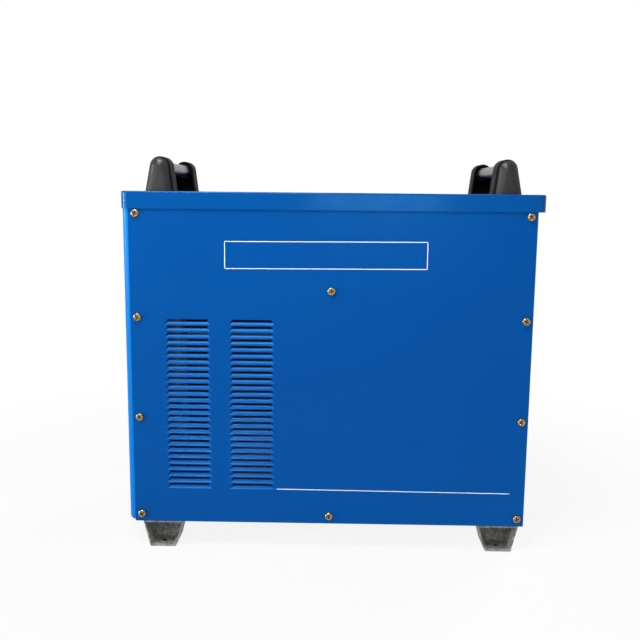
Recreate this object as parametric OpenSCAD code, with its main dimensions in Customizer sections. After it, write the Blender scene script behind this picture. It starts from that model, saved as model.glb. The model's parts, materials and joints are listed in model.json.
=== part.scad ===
// Cabinet-type inverter plasma cutter: a sheet-metal case on four cast feet, two bar handles on
// the lid, pressed-in louvres in both side panels, recessed front and rear panels and the power
// parts inside. Millimetres, +Z up, origin on the floor under the middle of the lid.
// The front faces -X, the operator's right-hand side panel faces -Y.

/* [Cabinet] */
// Length of a side panel
panel_l = 590; // [560:5:660]
// Width over both side panels
cab_w = 292; // [288:2:330]
// Height of the side panel that shows below the lid
panel_show_h = 473; // [465:1:520]
// Sheet thickness of the side panels
panel_t = 1.2; // [0.8:0.1:2]
// Depth of the rounded front bezel
bezel_d = 9; // [8.5:0.5:14]
// Radius of the bezel's outer edges
bezel_r = 8; // [4:0.5:8.4]
// Width of the bezel's front rim at the sides and the bottom
bezel_rim = 14; // [10:1:18]
// Wall thickness of the bezel's flanges and sleeve
bezel_t = 2; // [1.5:0.1:3]
// Length of the bezel flanges that the side panels are screwed to
bezel_flange = 22; // [18:1:24]
// Depth of the front recess
front_recess = 38; // [36:1:44]
// Depth of the rear recess
rear_recess = 32; // [28:1:40]
// Sheet thickness of the front and rear panels
plate_t = 1.5; // [1:0.1:2.5]
// Sheet thickness of the base tray
tray_t = 2; // [1.5:0.1:3]
// Height of the base tray's side flanges
tray_flange = 20; // [18:1:30]
// Height of the middle shelf's screw line above the case's bottom edge
shelf_line = 356; // [350:1:362]
// Height of the middle shelf's side flanges
shelf_flange = 20; // [16:1:24]
// Sheet thickness of the middle shelf
shelf_t = 1.5; // [1:0.1:2.5]

/* [Lid] */
// Sheet thickness of the lid
lid_t = 1.5; // [1:0.1:2.5]
// Height of the lid's rim
lid_rim_h = 25; // [24:1:34]
// Clearance between the bezel's front and the lid's rim
lid_clear_front = 0.2; // [0.1:0.1:8]
// Clearance between the side panels' rear edges and the lid's rim
lid_clear_rear = 10; // [0.2:0.2:18]
// Clearance between a side panel and the lid's rim
lid_clear_side = 1; // [0.3:0.1:8]
// Radius of the lid's vertical corners
lid_r = 7; // [3:0.5:12]
// Clearance between a side panel's top edge and the lid's underside
lid_gap = 0.5; // [0.2:0.1:2]
// Width of the two rails under the handles
rail_w = 34; // [30:1:40]
// Height of the two rails under the handles
rail_h = 20; // [16:1:22]
// Sheet thickness of the rails
rail_t = 2; // [1.5:0.1:3]

/* [Louvres] */
// Number of louvres in a column
louvre_count = 27; // [8:1:28]
// Number of louvre columns
louvre_columns = 2; // [1:1:4]
// Vertical pitch of the louvres
louvre_pitch = 9.66; // [8.6:0.02:11]
// Distance between the middles of neighbouring columns
louvre_column_pitch = 94.6; // [80:0.2:110]
// Distance from the panel's front edge to the middle of the first column
louvre_first_x = 84; // [70:1:120]
// Height of the lowest louvre's root above the panel's bottom edge
louvre_first_z = 52.6; // [40:0.2:80]
// Width of the cut edge at the top of a louvre
louvre_cut_w = 59; // [40:1:64]
// Width of the bend at the root of a louvre
louvre_root_w = 68; // [65:1:74]
// Depth to which the free edge is pressed into the cabinet
louvre_depth = 3.4; // [2.5:0.1:5]
// Height of the open slot above the free edge
louvre_slot = 3.5; // [2:0.1:4.5]
// Height of the flat strip left between two louvres
louvre_land = 1; // [0.6:0.1:2]
// Power of a flap's curve, from its bend to its free edge; 1 is flat
louvre_bow = 1.35; // [1:0.05:2]
// Number of flat strips that make up a flap's curve
louvre_steps = 3; // [1:1:5]

/* [Screws] */
// Head diameter of the side-panel screws
screw_head_d = 11.6; // [9:0.2:13]
// Head height of the side-panel screws
screw_head_h = 4.2; // [2:0.1:5]
// Shank diameter of the side-panel screws
screw_d = 5; // [3:0.5:6]
// Shank length of the side-panel screws
screw_l = 9; // [6:0.5:12]
// Distance of the screw columns from the panel's front and rear edges
screw_inset = 10.5; // [8:0.5:14]
// Distance of the lowest screws from the panel's bottom edge
screw_low = 12.3; // [10:0.1:16]
// Vertical pitch of the side-panel screws
screw_pitch = 151.3; // [146:0.1:153]
// Clearance round a screw shank
screw_clear = 0.25; // [0.1:0.05:0.6]

/* [Handles] */
// Distance of a handle's axis from the end of the lid
handle_inset = 52; // [45:1:60]
// Distance of a post from the side edge of the lid
post_inset = 22.5; // [16:0.5:40]
// Depth of a post across the machine
post_depth = 44; // [34:1:50]
// Height of a post above the lid
post_h = 50.5; // [48:1:60]
// Radius of a post's rounded top
post_r = 14.8; // [13:0.1:16]
// Reach of a post's base from the handle axis towards the end of the lid
post_out = 22; // [17:0.1:26]
// Reach of a post's base from the handle axis towards the middle of the lid
post_in = 19.2; // [16:0.1:24]
// Thickness of a post's outer cap
cap_d = 13; // [10:1:16]
// Width of the groove behind a post's outer cap
groove_w = 1.6; // [1:0.1:3]
// Depth of that groove
groove_depth = 1.2; // [0.6:0.1:2]
// Reach of the cap's rounded front in from its outline
cap_round_w = 14; // [8:0.5:14.5]
// Depth of the cap's rounded front
cap_round_d = 12; // [4:0.5:12.5]
// Width of the rim round the hollow in a post's inner face
post_rim = 2.8; // [2:0.1:4]
// Depth of the hollow below the tube
hollow_depth = 27; // [6:0.5:30]
// Diameter of the grip tube
tube_d = 18; // [15:0.5:20]
// Height of the grip tube's axis above the lid
tube_h = 35; // [34:0.5:36]
// Depth of the tube's socket in a post
tube_socket = 15; // [10:1:17]
// Radial clearance of the tube in its socket
tube_clear = 0.25; // [0.1:0.05:0.5]

/* [Feet] */
// Height of the feet
foot_h = 42; // [38:1:60]
// Width of a foot at its top
foot_top_w = 62; // [58:1:70]
// Width of a foot at the floor
foot_floor_w = 38.6; // [34:0.2:48]
// Depth of a foot across the machine
foot_depth = 35; // [32:1:44]
// Taper of a foot's end wall towards the end of the machine
foot_out_taper = 10.2; // [6:0.2:14]
// Height of the bend in a foot's inner wall above the floor
foot_kink_h = 10; // [6:1:14]
// Width of the foot, inside the bend, that is lost between the bend and the floor
foot_kink_w = 5.2; // [2:0.2:7]
// Wall thickness of a foot at the mouth of its pocket
foot_wall = 2.6; // [2:0.1:4]
// Draft of the pocket's side walls over its depth
foot_draft = 4; // [1:0.5:6]
// Thickness of a foot's floor, back and top plates
foot_plate = 4; // [3:0.5:6]
// Diameter of the fixing hole in a foot's floor
foot_hole_d = 8.8; // [6:0.1:11]
// Distance of the front feet from the panel's front edge
foot_inset_front = 11; // [6:1:14]
// Distance of the rear feet from the panel's rear edge
foot_inset_rear = 6; // [3:1:12]
// Distance of a foot's open side from the side panel's outer face
foot_inset_side = 3; // [2:0.5:8]

/* [Front controls] */
// Width of the control fascia
fascia_w = 230; // [220:1:250]
// Height of the control fascia
fascia_h = 102; // [98:1:106]
// Thickness of the control fascia
fascia_t = 5; // [3:0.5:8]
// Height of the fascia's lower edge above the case's bottom edge
fascia_low = 367; // [366:1:368]
// Width of the display window
display_w = 88; // [60:1:100]
// Height of the display window
display_h = 30; // [20:1:32]
// Diameter of the current knob
knob_d = 38; // [30:1:44]
// Height of the current knob
knob_h = 20; // [14:1:24]
// Diameter of the current knob's shaft
knob_shaft_d = 6; // [5:0.5:8]
// Sideways distance of each rocker switch from the knob
rocker_offset = 68; // [50:1:90]
// Radius of a rocker's drum
rocker_r = 11; // [9:0.5:12]
// Width of a rocker
rocker_w = 13; // [10:0.5:18]
// Angle between a rocker's two positions
rocker_throw = 16; // [10:1:20]

/* [Connections] */
// Height of the front connections above the case's bottom edge
socket_line = 118; // [110:1:150]
// Height of the mains breaker and the cable gland above the case's bottom edge
rear_line = 410; // [408:1:420]
// Radius of the work-lead socket's bore
output_bore_r = 6.6; // [5:0.1:8]
// Depth of the work-lead socket's bore
output_bore_l = 30; // [20:1:34]
// Radius of the torch coupling's threaded bore
torch_bore_r = 7.25; // [5:0.05:8]
// Depth of the torch coupling's threaded bore
torch_bore_l = 16; // [12:1:18]
// Radius of the gas inlet's threaded end
gas_pin_r = 6.6; // [5:0.1:8]
// Length of the gas inlet's threaded end
gas_pin_l = 14; // [10:1:18]
// Radius of the mains cable gland's bore
gland_bore_r = 7; // [5:0.1:9]
// Radius of the earth stud
stud_r = 4; // [3:0.5:5]
// Free length of the earth stud
stud_l = 18; // [12:1:22]

/* [Fan] */
// Side length of the fan frame
fan_size = 204; // [190:2:208]
// Depth of the fan frame
fan_depth = 45; // [38:1:50]
// Radius of the fan's air duct
fan_duct_r = 95; // [85:1:96]
// Running clearance between the blade tips and the duct
fan_tip_clear = 2.5; // [1.5:0.5:4]
// Radius of the fan's hub
fan_hub_r = 36; // [28:1:42]
// Number of fan blades
fan_blades = 7; // [3:1:9]
// Height of the fan's axis above the case's bottom edge
fan_line = 122; // [116:1:140]
// Wire diameter of the fan guard
guard_wire = 2.4; // [2:0.2:3.4]

/* [Power parts] */
// Length of the cooling tunnel
tunnel_l = 185; // [150:1:190]
// Clear width of the cooling tunnel
tunnel_w = 216; // [190:2:220]
// Height of the cooling tunnel's side boards
tunnel_h = 256; // [250:1:262]
// Thickness of the tunnel's side boards
tunnel_t = 4; // [3:0.5:6]
// Height of a heatsink
sink_h = 66; // [50:1:72]
// Thickness of a heatsink's base
sink_base = 10; // [8:1:14]
// Number of fins on a heatsink
sink_fins = 20; // [8:1:24]
// Thickness of a fin
fin_t = 2.4; // [1.5:0.1:3.5]
// Diameter of a reservoir capacitor
cap_can_d = 50; // [35:1:52]
// Height of a reservoir capacitor
cap_can_h = 76; // [50:1:78]

/* [Hidden] */
$fn = 48;
eps = 0.01;
HULL_FN = 32;
// Sides of a hexagon nut
HEX = 6;
// Clearance between pieces that lie close together without touching
seat = 0.3;

// Shank radii of the front panel's screws and of the fan's screws, and the hole for each
panel_screw_r = screw_d / 2 - 1;
fan_screw_r = screw_d / 2 - 0.5;
fan_hole_r = fan_screw_r + screw_clear;

// Lid and case limits
lid_l = lid_clear_front + bezel_d + panel_l + lid_clear_rear + 2 * lid_t;
lid_w = cab_w + 2 * (lid_clear_side + lid_t);
x_front = -lid_l / 2 + lid_t + lid_clear_front;
x_pf = x_front + bezel_d;
x_pr = x_pf + panel_l;
x_mid = (x_pf + x_pr) / 2;
y_out = cab_w / 2;
y_in = y_out - panel_t;
z_case = foot_h;
z_rim = z_case + panel_show_h;
z_lid = z_rim + lid_rim_h;
z_under = z_lid - lid_t;
z_panel = z_under - lid_gap;

// Recessed panels: front face of the front panel, inner face of the rear panel
fp_x = x_front + front_recess;
fp_in = fp_x + plate_t;
rp_x = x_pr - rear_recess;
rp_out = rp_x + plate_t;
tray_top = z_case + tray_t;
shelf_top = z_case + shelf_line + shelf_flange / 2;

// Clear opening of the front recess, and the top of the rear pan under the rear rail
recess_y = y_out - bezel_rim;
recess_z0 = z_case + bezel_rim;
recess_z1 = z_under - rail_h - seat - bezel_t;
pan_z1 = z_under - rail_h - seat;

// Side-panel screws: as many rows at both ends as fit with their heads below the lid's rim,
// one low in the middle and one on the shelf's line
screw_reach = z_rim - screw_head_d / 2 - z_case - screw_low;
SCREW_ROWS = [0:floor(screw_reach / screw_pitch)];
shelf_z = z_case + shelf_line;
END_SCREWS = [for (x = [x_pf + screw_inset, x_pr - screw_inset], i = SCREW_ROWS)
    [x, z_case + screw_low + i * screw_pitch]];
MID_SCREWS = [[x_mid, z_case + screw_low], [x_mid, shelf_z]];
SIDE_SCREWS = concat(END_SCREWS, MID_SCREWS);

// Handles
handle_x = lid_l / 2 - handle_inset;
post_y = lid_w / 2 - post_inset;
tube_z = z_lid + tube_h;
POST_BOLT_X = [-8, 8];
post_bolt_y = 8;
bolt_d = 5;
bolt_head_r = 4.6;
bolt_head_h = 4;
post_bolt_l = 14;

// Feet
foot_xf = x_pf + foot_inset_front;
foot_xr = x_pr - foot_inset_rear;
foot_y = y_out - foot_inset_side;
foot_in_taper = foot_top_w - foot_floor_w - foot_out_taper;
foot_hole_x = foot_out_taper + foot_floor_w / 2;
foot_hole_y = foot_depth / 2 - foot_plate / 2;
FOOT_BOLT_Y = [11, 25];
foot_bolt_x = foot_top_w / 2 + 5;
nut_h = 4;

// Front controls
fascia_x = fp_x - fascia_t;
fascia_z = z_case + fascia_low;
fascia_r = 6;
display_top_gap = 12;
display_z = fascia_z + fascia_h - display_top_gap - display_h;
control_line = 34;
control_z = fascia_z + control_line;
knob_clear = 0.5;
pot_bush_r = 5;
pot_r = 12;
pot_d = 14;
LAMP_Y = [-95, -80, 80, 95];
lamp_r = 4;
lamp_z = display_z + display_h / 2;

// Rocker and breaker drums: pivot behind the face, V-shaped front
drum_clear = 0.3;
rocker_pivot = 2.5;
rocker_rim = 2;
rocker_wall = 2.5;
rocker_case_d = 20;
breaker_r = 10;
breaker_w = 46;
breaker_throw = 70;
breaker_y = 70;
breaker_z = z_case + rear_line;
breaker_wall = 5;
breaker_pivot = breaker_r - 2;
breaker_body_w = 84;
breaker_body_h = 76;
breaker_body_d = 62;
breaker_nose = 4;

// Front connections: the outer two by their distance from the recess's sides
torch_y = -(recess_y - 44);
pilot_y = -30;
control_y = 24;
output_y = recess_y - 42;
socket_z = z_case + socket_line;
torch_tail = 26;
torch_neck_r = 12;
pilot_neck_r = 5;
control_neck_r = 8;
output_neck_r = 17;

// Gas valve and inlet, high at the operator's right, under the shelf
valve_l = 38;
valve_w = 26;
valve_coil_h = 34;
valve_gap = 6;
hose_r = 5;
hose_bend = 14;
barb_r = hose_r - 1.6;
gas_y = -(y_in - valve_w / 2 - 7.8);
gas_z = shelf_z - shelf_flange / 2 - valve_coil_h - valve_w / 2 - 11;

// Cable gland: a wider entry behind the panel than in its clamp
gland_y = -70;
gland_z = z_case + rear_line;
gland_neck_r = gland_bore_r + 3;
gland_entry = 0.6;
gland_seat = 2;

// Fan
fan_z = z_case + fan_line;
fan_x = rp_x - fan_depth;
fan_spider = 6;
// Distance of the spider behind the frame's face
spider_x = 1;
fan_tip_r = fan_duct_r - fan_tip_clear;
fan_shaft_r = 4;
fan_shaft_clear = 0.1;
fan_screw = fan_size / 2 - 11;

// Earth stud, beside the lower fan screw
stud_y = -(fan_screw + 21);
stud_z = z_case + 30;

// Cooling tunnel in front of the fan
tunnel_x1 = fan_x - 12;
tunnel_x0 = tunnel_x1 - tunnel_l;
sink_z0 = tray_top + 14;
sink_gap = 62;
sink_z1 = sink_z0 + sink_h + sink_gap;
board_t = 1.6;
power_z = tray_top + tunnel_h;
module_h = 30;

// Transformer and choke on the tray, in front of the tunnel
core_l = 120;
core_w = 60;
core_h = 132;
core_leg = 22;
core_x0 = tunnel_x0 - 88 - core_l;
winding_gap = 0.4;
choke_l = 64;
choke_w = 84;
choke_x0 = tunnel_x0 - 12 - choke_l;
choke_y0 = y_in - 124.8;
partition_gap = 14;

// Parts on the shelf, by their distance from the side panels and the front panel
shelf_side_gap = 34.8;
control_board_gap = 60;
shelf_parts_gap = 300;
control_board_x = fp_in + control_board_gap;
shelf_parts_x = fp_in + shelf_parts_gap;

// ---------------------------------------------------------------- helpers

// Box from one corner to the opposite one
module span(a, b) {
    translate(a) cube(b - a);
}

// Cylinder of radius r along +X
module rod_x(r, l) {
    rotate([0, 90, 0]) cylinder(r = r, h = l);
}

// Cylinder of radius r along +Y
module rod_y(r, l) {
    rotate([-90, 0, 0]) cylinder(r = r, h = l);
}

// Hexagonal prism along +X, measured across its corners
module hex_x(r, l) {
    rotate([0, 90, 0]) cylinder(r = r, h = l, $fn = HEX);
}

// Ring of wire round the X axis
module ring_x(r, wire_r) {
    rotate([0, 90, 0]) rotate_extrude() translate([r, 0]) circle(r = wire_r, $fn = 16);
}

// Rectangle with round corners, centred
module round_rect(l, w, r) {
    square([l - 2 * r, w], center = true);
    square([l, w - 2 * r], center = true);
    for (sx = [-1, 1], sy = [-1, 1])
        translate([sx * (l / 2 - r), sy * (w / 2 - r)]) circle(r = r);
}

// Copies children on the operator's right (-Y) and left (+Y) side
module both_sides() {
    children();
    mirror([0, 1, 0]) children();
}

// Holes for side-panel screws, through whatever lies within the shank's reach
module screw_holes(points) {
    both_sides() for (p = points)
        translate([p[0], -y_out - eps, p[1]]) rod_y(screw_d / 2 + screw_clear, screw_l + 2);
}

// ---------------------------------------------------------------- case

// Tray with side flanges; the bezel and the rear panel stand on its ends
module base_tray() {
    flange_x0 = x_pf + bezel_flange + seat;
    flange_x1 = rp_x - seat;
    color("#0f5fa8") difference() {
        union() {
            span([x_pf, -y_in, z_case], [x_pr, y_in, tray_top]);
            both_sides() span([flange_x0, -y_in, z_case],
                [flange_x1, -y_in + tray_t, z_case + tray_flange]);
        }
        screw_holes([MID_SCREWS[0]]);
        for (fx = [foot_xf + foot_bolt_x, foot_xr - foot_bolt_x], by = FOOT_BOLT_Y)
            both_sides() translate([fx, -foot_y + by, z_case - eps])
                cylinder(r = bolt_d / 2 + screw_clear, h = tray_t + 2 * eps);
    }
}

// Box between two corners, with every edge of its front face rounded
module pillow(a, b, r) {
    hull() for (y = [a[1] + r, b[1] - r], z = [a[2] + r, b[2] - r])
        translate([a[0] + r, y, z]) {
            rotate([0, -90, 0]) rotate_extrude($fn = HULL_FN) intersection() {
                circle(r = r);
                square(r);
            }
            rotate([0, 90, 0]) cylinder(r = r, h = b[0] - a[0] - r, $fn = HULL_FN);
        }
}

// Rounded frame with flanges behind the side panels and a sleeve round the front recess
module front_bezel() {
    flange_z0 = tray_top + seat;
    lip = 8;
    color("#1773c4") difference() {
        union() {
            pillow([x_front, -y_out, z_case], [x_pf, y_out, z_panel], bezel_r);
            difference() {
                span([x_pf - eps, -y_in, flange_z0], [x_pf + bezel_flange, y_in, z_panel]);
                span([x_pf - 1, -y_in + bezel_t, flange_z0 + bezel_t],
                    [x_pf + bezel_flange + 1, y_in - bezel_t, z_panel - bezel_t]);
            }
            span([x_pf - eps, -recess_y - bezel_t, recess_z0 - bezel_t],
                [fp_x, recess_y + bezel_t, recess_z1 + bezel_t]);
            span([fp_x - bezel_t, -recess_y - lip, recess_z0 - lip],
                [fp_x, recess_y + lip, recess_z1 + bezel_t]);
        }
        span([x_front - 1, -recess_y, recess_z0], [fp_x + 1, recess_y, recess_z1]);
        screw_holes(SIDE_SCREWS);
        front_panel_holes();
    }
}

// Places of the small screws that hold the front panel to the bezel's sleeve: how far they
// stand beside the recess and from its ends, and the height of the middle ones
panel_screw_side = 5;
panel_screw_end = 40;
panel_screw_mid = 230;
panel_screw_heights = [recess_z0 + panel_screw_end, z_case + panel_screw_mid,
    recess_z1 - panel_screw_end];
FRONT_PANEL_SCREWS = [for (s = [-1, 1], z = panel_screw_heights)
    [s * (recess_y + panel_screw_side), z]];

// Drills those holes
module front_panel_holes() {
    for (p = FRONT_PANEL_SCREWS) translate([fp_x - bezel_t - 1, p[0], p[1]])
        rod_x(panel_screw_r + screw_clear, bezel_t + plate_t + 2);
}

// Flat front panel with cut-outs for the connections and the controls' backs
module front_panel() {
    edge_y = y_in - tray_t - seat;
    cut_l = plate_t + 2;
    color("#1a1c20") difference() {
        span([fp_x, -edge_y, tray_top], [fp_in, edge_y, recess_z1 + bezel_t]);
        translate([fp_x - 1, 0, 0]) {
            translate([0, torch_y, socket_z]) rod_x(torch_neck_r + seat, cut_l);
            translate([0, pilot_y, socket_z]) rod_x(pilot_neck_r + seat, cut_l);
            translate([0, control_y, socket_z]) rod_x(control_neck_r + seat, cut_l);
            translate([0, output_y, socket_z]) rod_x(output_neck_r + seat, cut_l);
            control_openings(cut_l);
        }
        front_panel_holes();
    }
}

// Openings for the knob's bush, the rocker switches and the lamps, along +X
module control_openings(l) {
    half_w = rocker_w / 2 + rocker_wall + seat;
    half_h = rocker_r + rocker_wall + seat;
    translate([0, 0, control_z]) rod_x(pot_bush_r + seat, l);
    for (s = [-1, 1]) translate([0, s * rocker_offset, control_z])
        span([0, -half_w, -half_h], [l, half_w, half_h]);
    for (y = LAMP_Y) translate([0, y, lamp_z]) rod_x(lamp_r + seat, l);
}

// Moulded fascia with openings for the display, the knob, the rockers and the lamps
module control_fascia() {
    color("#2b2e33") difference() {
        translate([fascia_x, 0, fascia_z + fascia_h / 2]) rotate([90, 0, 90])
            linear_extrude(fascia_t) round_rect(fascia_w, fascia_h, fascia_r);
        translate([fascia_x - 1, 0, 0]) {
            span([0, -display_w / 2 - seat, display_z - seat],
                [fascia_t + 2, display_w / 2 + seat, display_z + display_h + seat]);
            control_openings(fascia_t + 2);
        }
    }
}

// Flat rear plate with openings for the fan, the breaker and the connections
module rear_panel() {
    nose_y = breaker_w / 2 + breaker_wall + seat;
    nose_z = breaker_r + breaker_wall + seat;
    cut_l = plate_t + 2;
    color("#0f5fa8") difference() {
        span([rp_x, -y_in, tray_top], [rp_out, y_in, pan_z1]);
        translate([rp_x - 1, 0, 0]) {
            translate([0, 0, fan_z]) rod_x(fan_duct_r, cut_l);
            for (sy = [-1, 1], sz = [-1, 1])
                translate([0, sy * fan_screw, fan_z + sz * fan_screw]) rod_x(fan_hole_r, cut_l);
            translate([0, gas_y, gas_z]) rod_x(gas_pin_r + seat, cut_l);
            translate([0, gland_y, gland_z]) rod_x(gland_neck_r + seat, cut_l);
            translate([0, stud_y, stud_z]) rod_x(stud_r + seat, cut_l);
            translate([0, breaker_y, breaker_z])
                span([0, -nose_y, -nose_z], [cut_l, nose_y, nose_z]);
        }
    }
}

// Frame round the rear recess, from the plate out to the side panels' rear edge
module rear_frame() {
    color("#0f5fa8") difference() {
        span([rp_out, -y_in, tray_top], [x_pr, y_in, pan_z1]);
        span([rp_out - 1, -y_in + plate_t, tray_top + plate_t],
            [x_pr + 1, y_in - plate_t, pan_z1 - plate_t]);
        screw_holes(SIDE_SCREWS);
    }
}

// Trapezoid cut for one louvre: its root in the panel's plane up to the cut edge
module louvre_window() {
    top = louvre_pitch - louvre_land;
    polygon([[-louvre_root_w / 2, 0], [louvre_root_w / 2, 0],
        [louvre_cut_w / 2, top], [-louvre_cut_w / 2, top]]);
}

// One louvre pressed inwards: a flap that curves from its root to the free edge, with a
// slanted cheek at each end. Local axes: x along the louvre, y into the cabinet, z up.
module louvre_scoop() {
    top = louvre_pitch - louvre_land;
    free_z = top - louvre_slot;
    n = louvre_steps;
    root = louvre_root_w / 2;
    cut = louvre_cut_w / 2;
    tip = cut - 0.6;
    // Outer skin: stations along the flap's end, from its root to its tip
    outer = [for (i = [0:n]) let (t = i / n)
        [root + (tip - root) * t, louvre_depth * pow(t, louvre_bow), free_z * t]];
    // Slant of each strip and, at each station, the mean of its two strips. The panel counts
    // as the strip before the root.
    slant = concat([0], [for (i = [1:n])
        atan2(outer[i][1] - outer[i - 1][1], outer[i][2] - outer[i - 1][2])]);
    lean = [for (i = [0:n]) (slant[i] + slant[min(i + 1, n)]) / 2];
    // Inner skin, one sheet thickness behind the outer one
    inner = [for (i = [0:n]) let (bend = lean[i] - slant[i]) outer[i]
        + panel_t * [1, cos(lean[i]) / cos(bend), -sin(lean[i]) / cos(bend)]];
    half = concat(outer, [[cut, 0, top]], inner, [[cut + panel_t, panel_t, top]]);
    points = concat(half, [for (p = half) [-p[0], p[1], p[2]]]);
    // Vertex numbers: 0..n outer skin, c its corner at the cut, then the same with n + 2
    // added on the inner skin, and with m added on the mirrored half
    c = n + 1;
    k = n + 2;
    m = 2 * k;
    cheek = concat([[0, k + c, k], [0, c, k + c], [c, n + k, c + k], [c, n, n + k]],
        [for (i = [0:n - 1]) each [[i, i + 1, c], [i + k, c + k, i + 1 + k]]]);
    mirrored = [for (f = cheek) [f[0] + m, f[2] + m, f[1] + m]];
    ends = [[0, k, k + m, m], [n, n + m, n + k + m, n + k]];
    strips = [for (i = [0:n - 1]) each [[i, i + m, i + 1 + m, i + 1],
        [i + k, i + 1 + k, i + 1 + k + m, i + k + m]]];
    polyhedron(points = points, faces = concat(cheek, mirrored, ends, strips));
}

// Middle of each louvre's root, along the panel and up from its bottom edge
LOUVRES = [for (c = [0:louvre_columns - 1], r = [0:louvre_count - 1])
    [louvre_first_x + c * louvre_column_pitch, louvre_first_z + r * louvre_pitch]];

// Side panel with its louvres, as the operator's right-hand side
module side_panel() {
    difference() {
        translate([x_pf, -y_in, z_case]) rotate([90, 0, 0]) linear_extrude(panel_t)
            difference() {
                square([panel_l, z_panel - z_case]);
                for (p = LOUVRES) translate(p) louvre_window();
            }
        screw_holes(SIDE_SCREWS);
    }
    for (p = LOUVRES) translate([x_pf + p[0], -y_out, z_case + p[1]]) louvre_scoop();
}

module side_panel_right() {
    color("#0f66b4") side_panel();
}

module side_panel_left() {
    color("#0f66b4") mirror([0, 1, 0]) side_panel();
}

// Lid: a pan with round corners and holes for the handle bolts
module top_cover() {
    color("#1268b6") difference() {
        translate([0, 0, z_rim]) linear_extrude(lid_rim_h) round_rect(lid_l, lid_w, lid_r);
        translate([0, 0, z_rim - 1]) linear_extrude(lid_rim_h + 1 - lid_t)
            round_rect(lid_l - 2 * lid_t, lid_w - 2 * lid_t, lid_r - lid_t);
        handle_bolt_places() cylinder(r = bolt_d / 2 + screw_clear, h = 10, center = true);
    }
}

// Channels across the case that carry the two handles
module top_rails() {
    color("#8d9296") difference() {
        for (side = [-1, 1]) translate([side * handle_x - rail_w / 2, 0, 0]) difference() {
            span([0, -y_in, z_under - rail_h], [rail_w, y_in, z_under]);
            span([rail_t, -y_in - 1, z_under - rail_h - 1],
                [rail_w - rail_t, y_in + 1, z_under - rail_t]);
        }
        handle_bolt_places() cylinder(r = bolt_d / 2 + screw_clear, h = rail_h, center = true);
    }
}

// Shelf with down-turned flanges between the front and the rear panel, and a partition plate
// below it that stands on the tray and keeps the cooling air on the operator's right
module mid_shelf() {
    partition_y = core_w / 2 + (core_l - 3 * core_leg) / 2 + 5;
    color("#26282b") {
        difference() {
            span([fp_in, -y_in, shelf_z - shelf_flange / 2], [rp_x, y_in, shelf_top]);
            span([fp_in - 1, -y_in + shelf_t, shelf_z - shelf_flange / 2 - 1],
                [rp_x + 1, y_in - shelf_t, shelf_top - shelf_t]);
            screw_holes([MID_SCREWS[1]]);
        }
        span([fp_in + partition_gap, partition_y, tray_top],
            [choke_x0 - partition_gap / 2, partition_y + shelf_t, shelf_top - shelf_t + eps]);
    }
}

// ---------------------------------------------------------------- handles

// Point where the line from p touches a circle of radius r round c, on the given side
function touch(p, c, r, side) =
    let (d = c - p, l = norm(d), a = atan2(d[1], d[0]) + side * asin(r / l),
        t = sqrt(l * l - r * r)) p + t * [cos(a), sin(a)];

// Outline of a post seen along the tube: tapered sides that run into a round top.
// The end of the lid is towards -x.
module post_outline() {
    c = [0, post_h - post_r];
    out_p = [-post_out, 0];
    in_p = [post_in, 0];
    out_t = touch(out_p, c, post_r, 1);
    in_t = touch(in_p, c, post_r, -1);
    polygon([out_p, in_p, in_t, c, out_t]);
    translate(c) circle(r = post_r);
}

// Handle post, with its outer cap at y = 0 and the tube's socket in its inner face
module handle_post_shape() {
    back = cap_d + groove_w;
    // Stations round the cap's front: [distance drawn in, depth]. The last one stays a little
    // inside the outline, so that the cap enters the body through its flat front.
    step = 0.04;
    leaf = 0.1;
    edge = [for (a = [0:15:90])
        [cap_round_w * (1 - sin(a)) + step, cap_round_d * (1 - cos(a)) + leaf]];
    difference() {
        union() {
            hull() for (e = edge) intersection() {
                translate([0, e[1], 0]) rotate([90, 0, 0]) linear_extrude(leaf)
                    offset(delta = -e[0], $fn = HULL_FN) post_outline_low();
                span([-post_out, -1, 0], [post_in, post_depth, post_h]);
            }
            translate([0, cap_d, 0]) rotate([90, 0, 0])
                linear_extrude(cap_d - cap_round_d) post_outline();
            translate([0, back + eps, 0]) rotate([90, 0, 0])
                linear_extrude(groove_w + 2 * eps) post_drawn_in(groove_depth);
            translate([0, post_depth, 0]) rotate([90, 0, 0])
                linear_extrude(post_depth - back) post_outline();
        }
        translate([0, post_depth - tube_socket, tube_h]) rod_y(tube_d / 2 + tube_clear, post_depth);
        inner_hollow();
        for (x = POST_BOLT_X) translate([x, post_bolt_y, -1])
            cylinder(r = bolt_d / 2 + screw_clear, h = post_bolt_l + 1.5);
    }
}

// Outline carried a little below the lid, so that drawing it in keeps its foot on the lid
module post_outline_low() {
    post_outline();
    translate([-post_out, -cap_round_w - 1])
        square([post_out + post_in, cap_round_w + 1 + eps]);
}

// Outline drawn in by d at its sides and its top
module post_drawn_in(d) {
    c = [0, post_h - post_r];
    r = post_r - d;
    out_p = [-post_out + d, 0];
    in_p = [post_in - d, 0];
    polygon([out_p, in_p, touch(in_p, c, r, -1), c, touch(out_p, c, r, 1)]);
    translate(c) circle(r = r);
}

// Hollow in the inner face: a ring round the tube, and a deep pocket below the tube's socket
module inner_hollow() {
    ring_depth = 3;
    boss_r = tube_d / 2 + tube_clear + 3;
    translate([0, post_depth + eps, -eps]) rotate([90, 0, 0]) {
        linear_extrude(ring_depth) post_drawn_in(post_rim);
        linear_extrude(hollow_depth) difference() {
            post_drawn_in(post_rim);
            translate([0, tube_h + eps]) circle(r = boss_r);
        }
    }
}

// Moves a post to its corner; sx and sy point to the corner
module at_post(sx, sy) {
    translate([sx * handle_x, sy * post_y, z_lid])
        mirror([sx > 0 ? 1 : 0, 0, 0]) mirror([0, sy > 0 ? 1 : 0, 0]) children();
}

module handle_post(sx, sy) {
    color("#27282b") at_post(sx, sy) handle_post_shape();
}

module handle_post_front_right() {
    handle_post(-1, -1);
}

module handle_post_front_left() {
    handle_post(-1, 1);
}

module handle_post_rear_right() {
    handle_post(1, -1);
}

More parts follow.
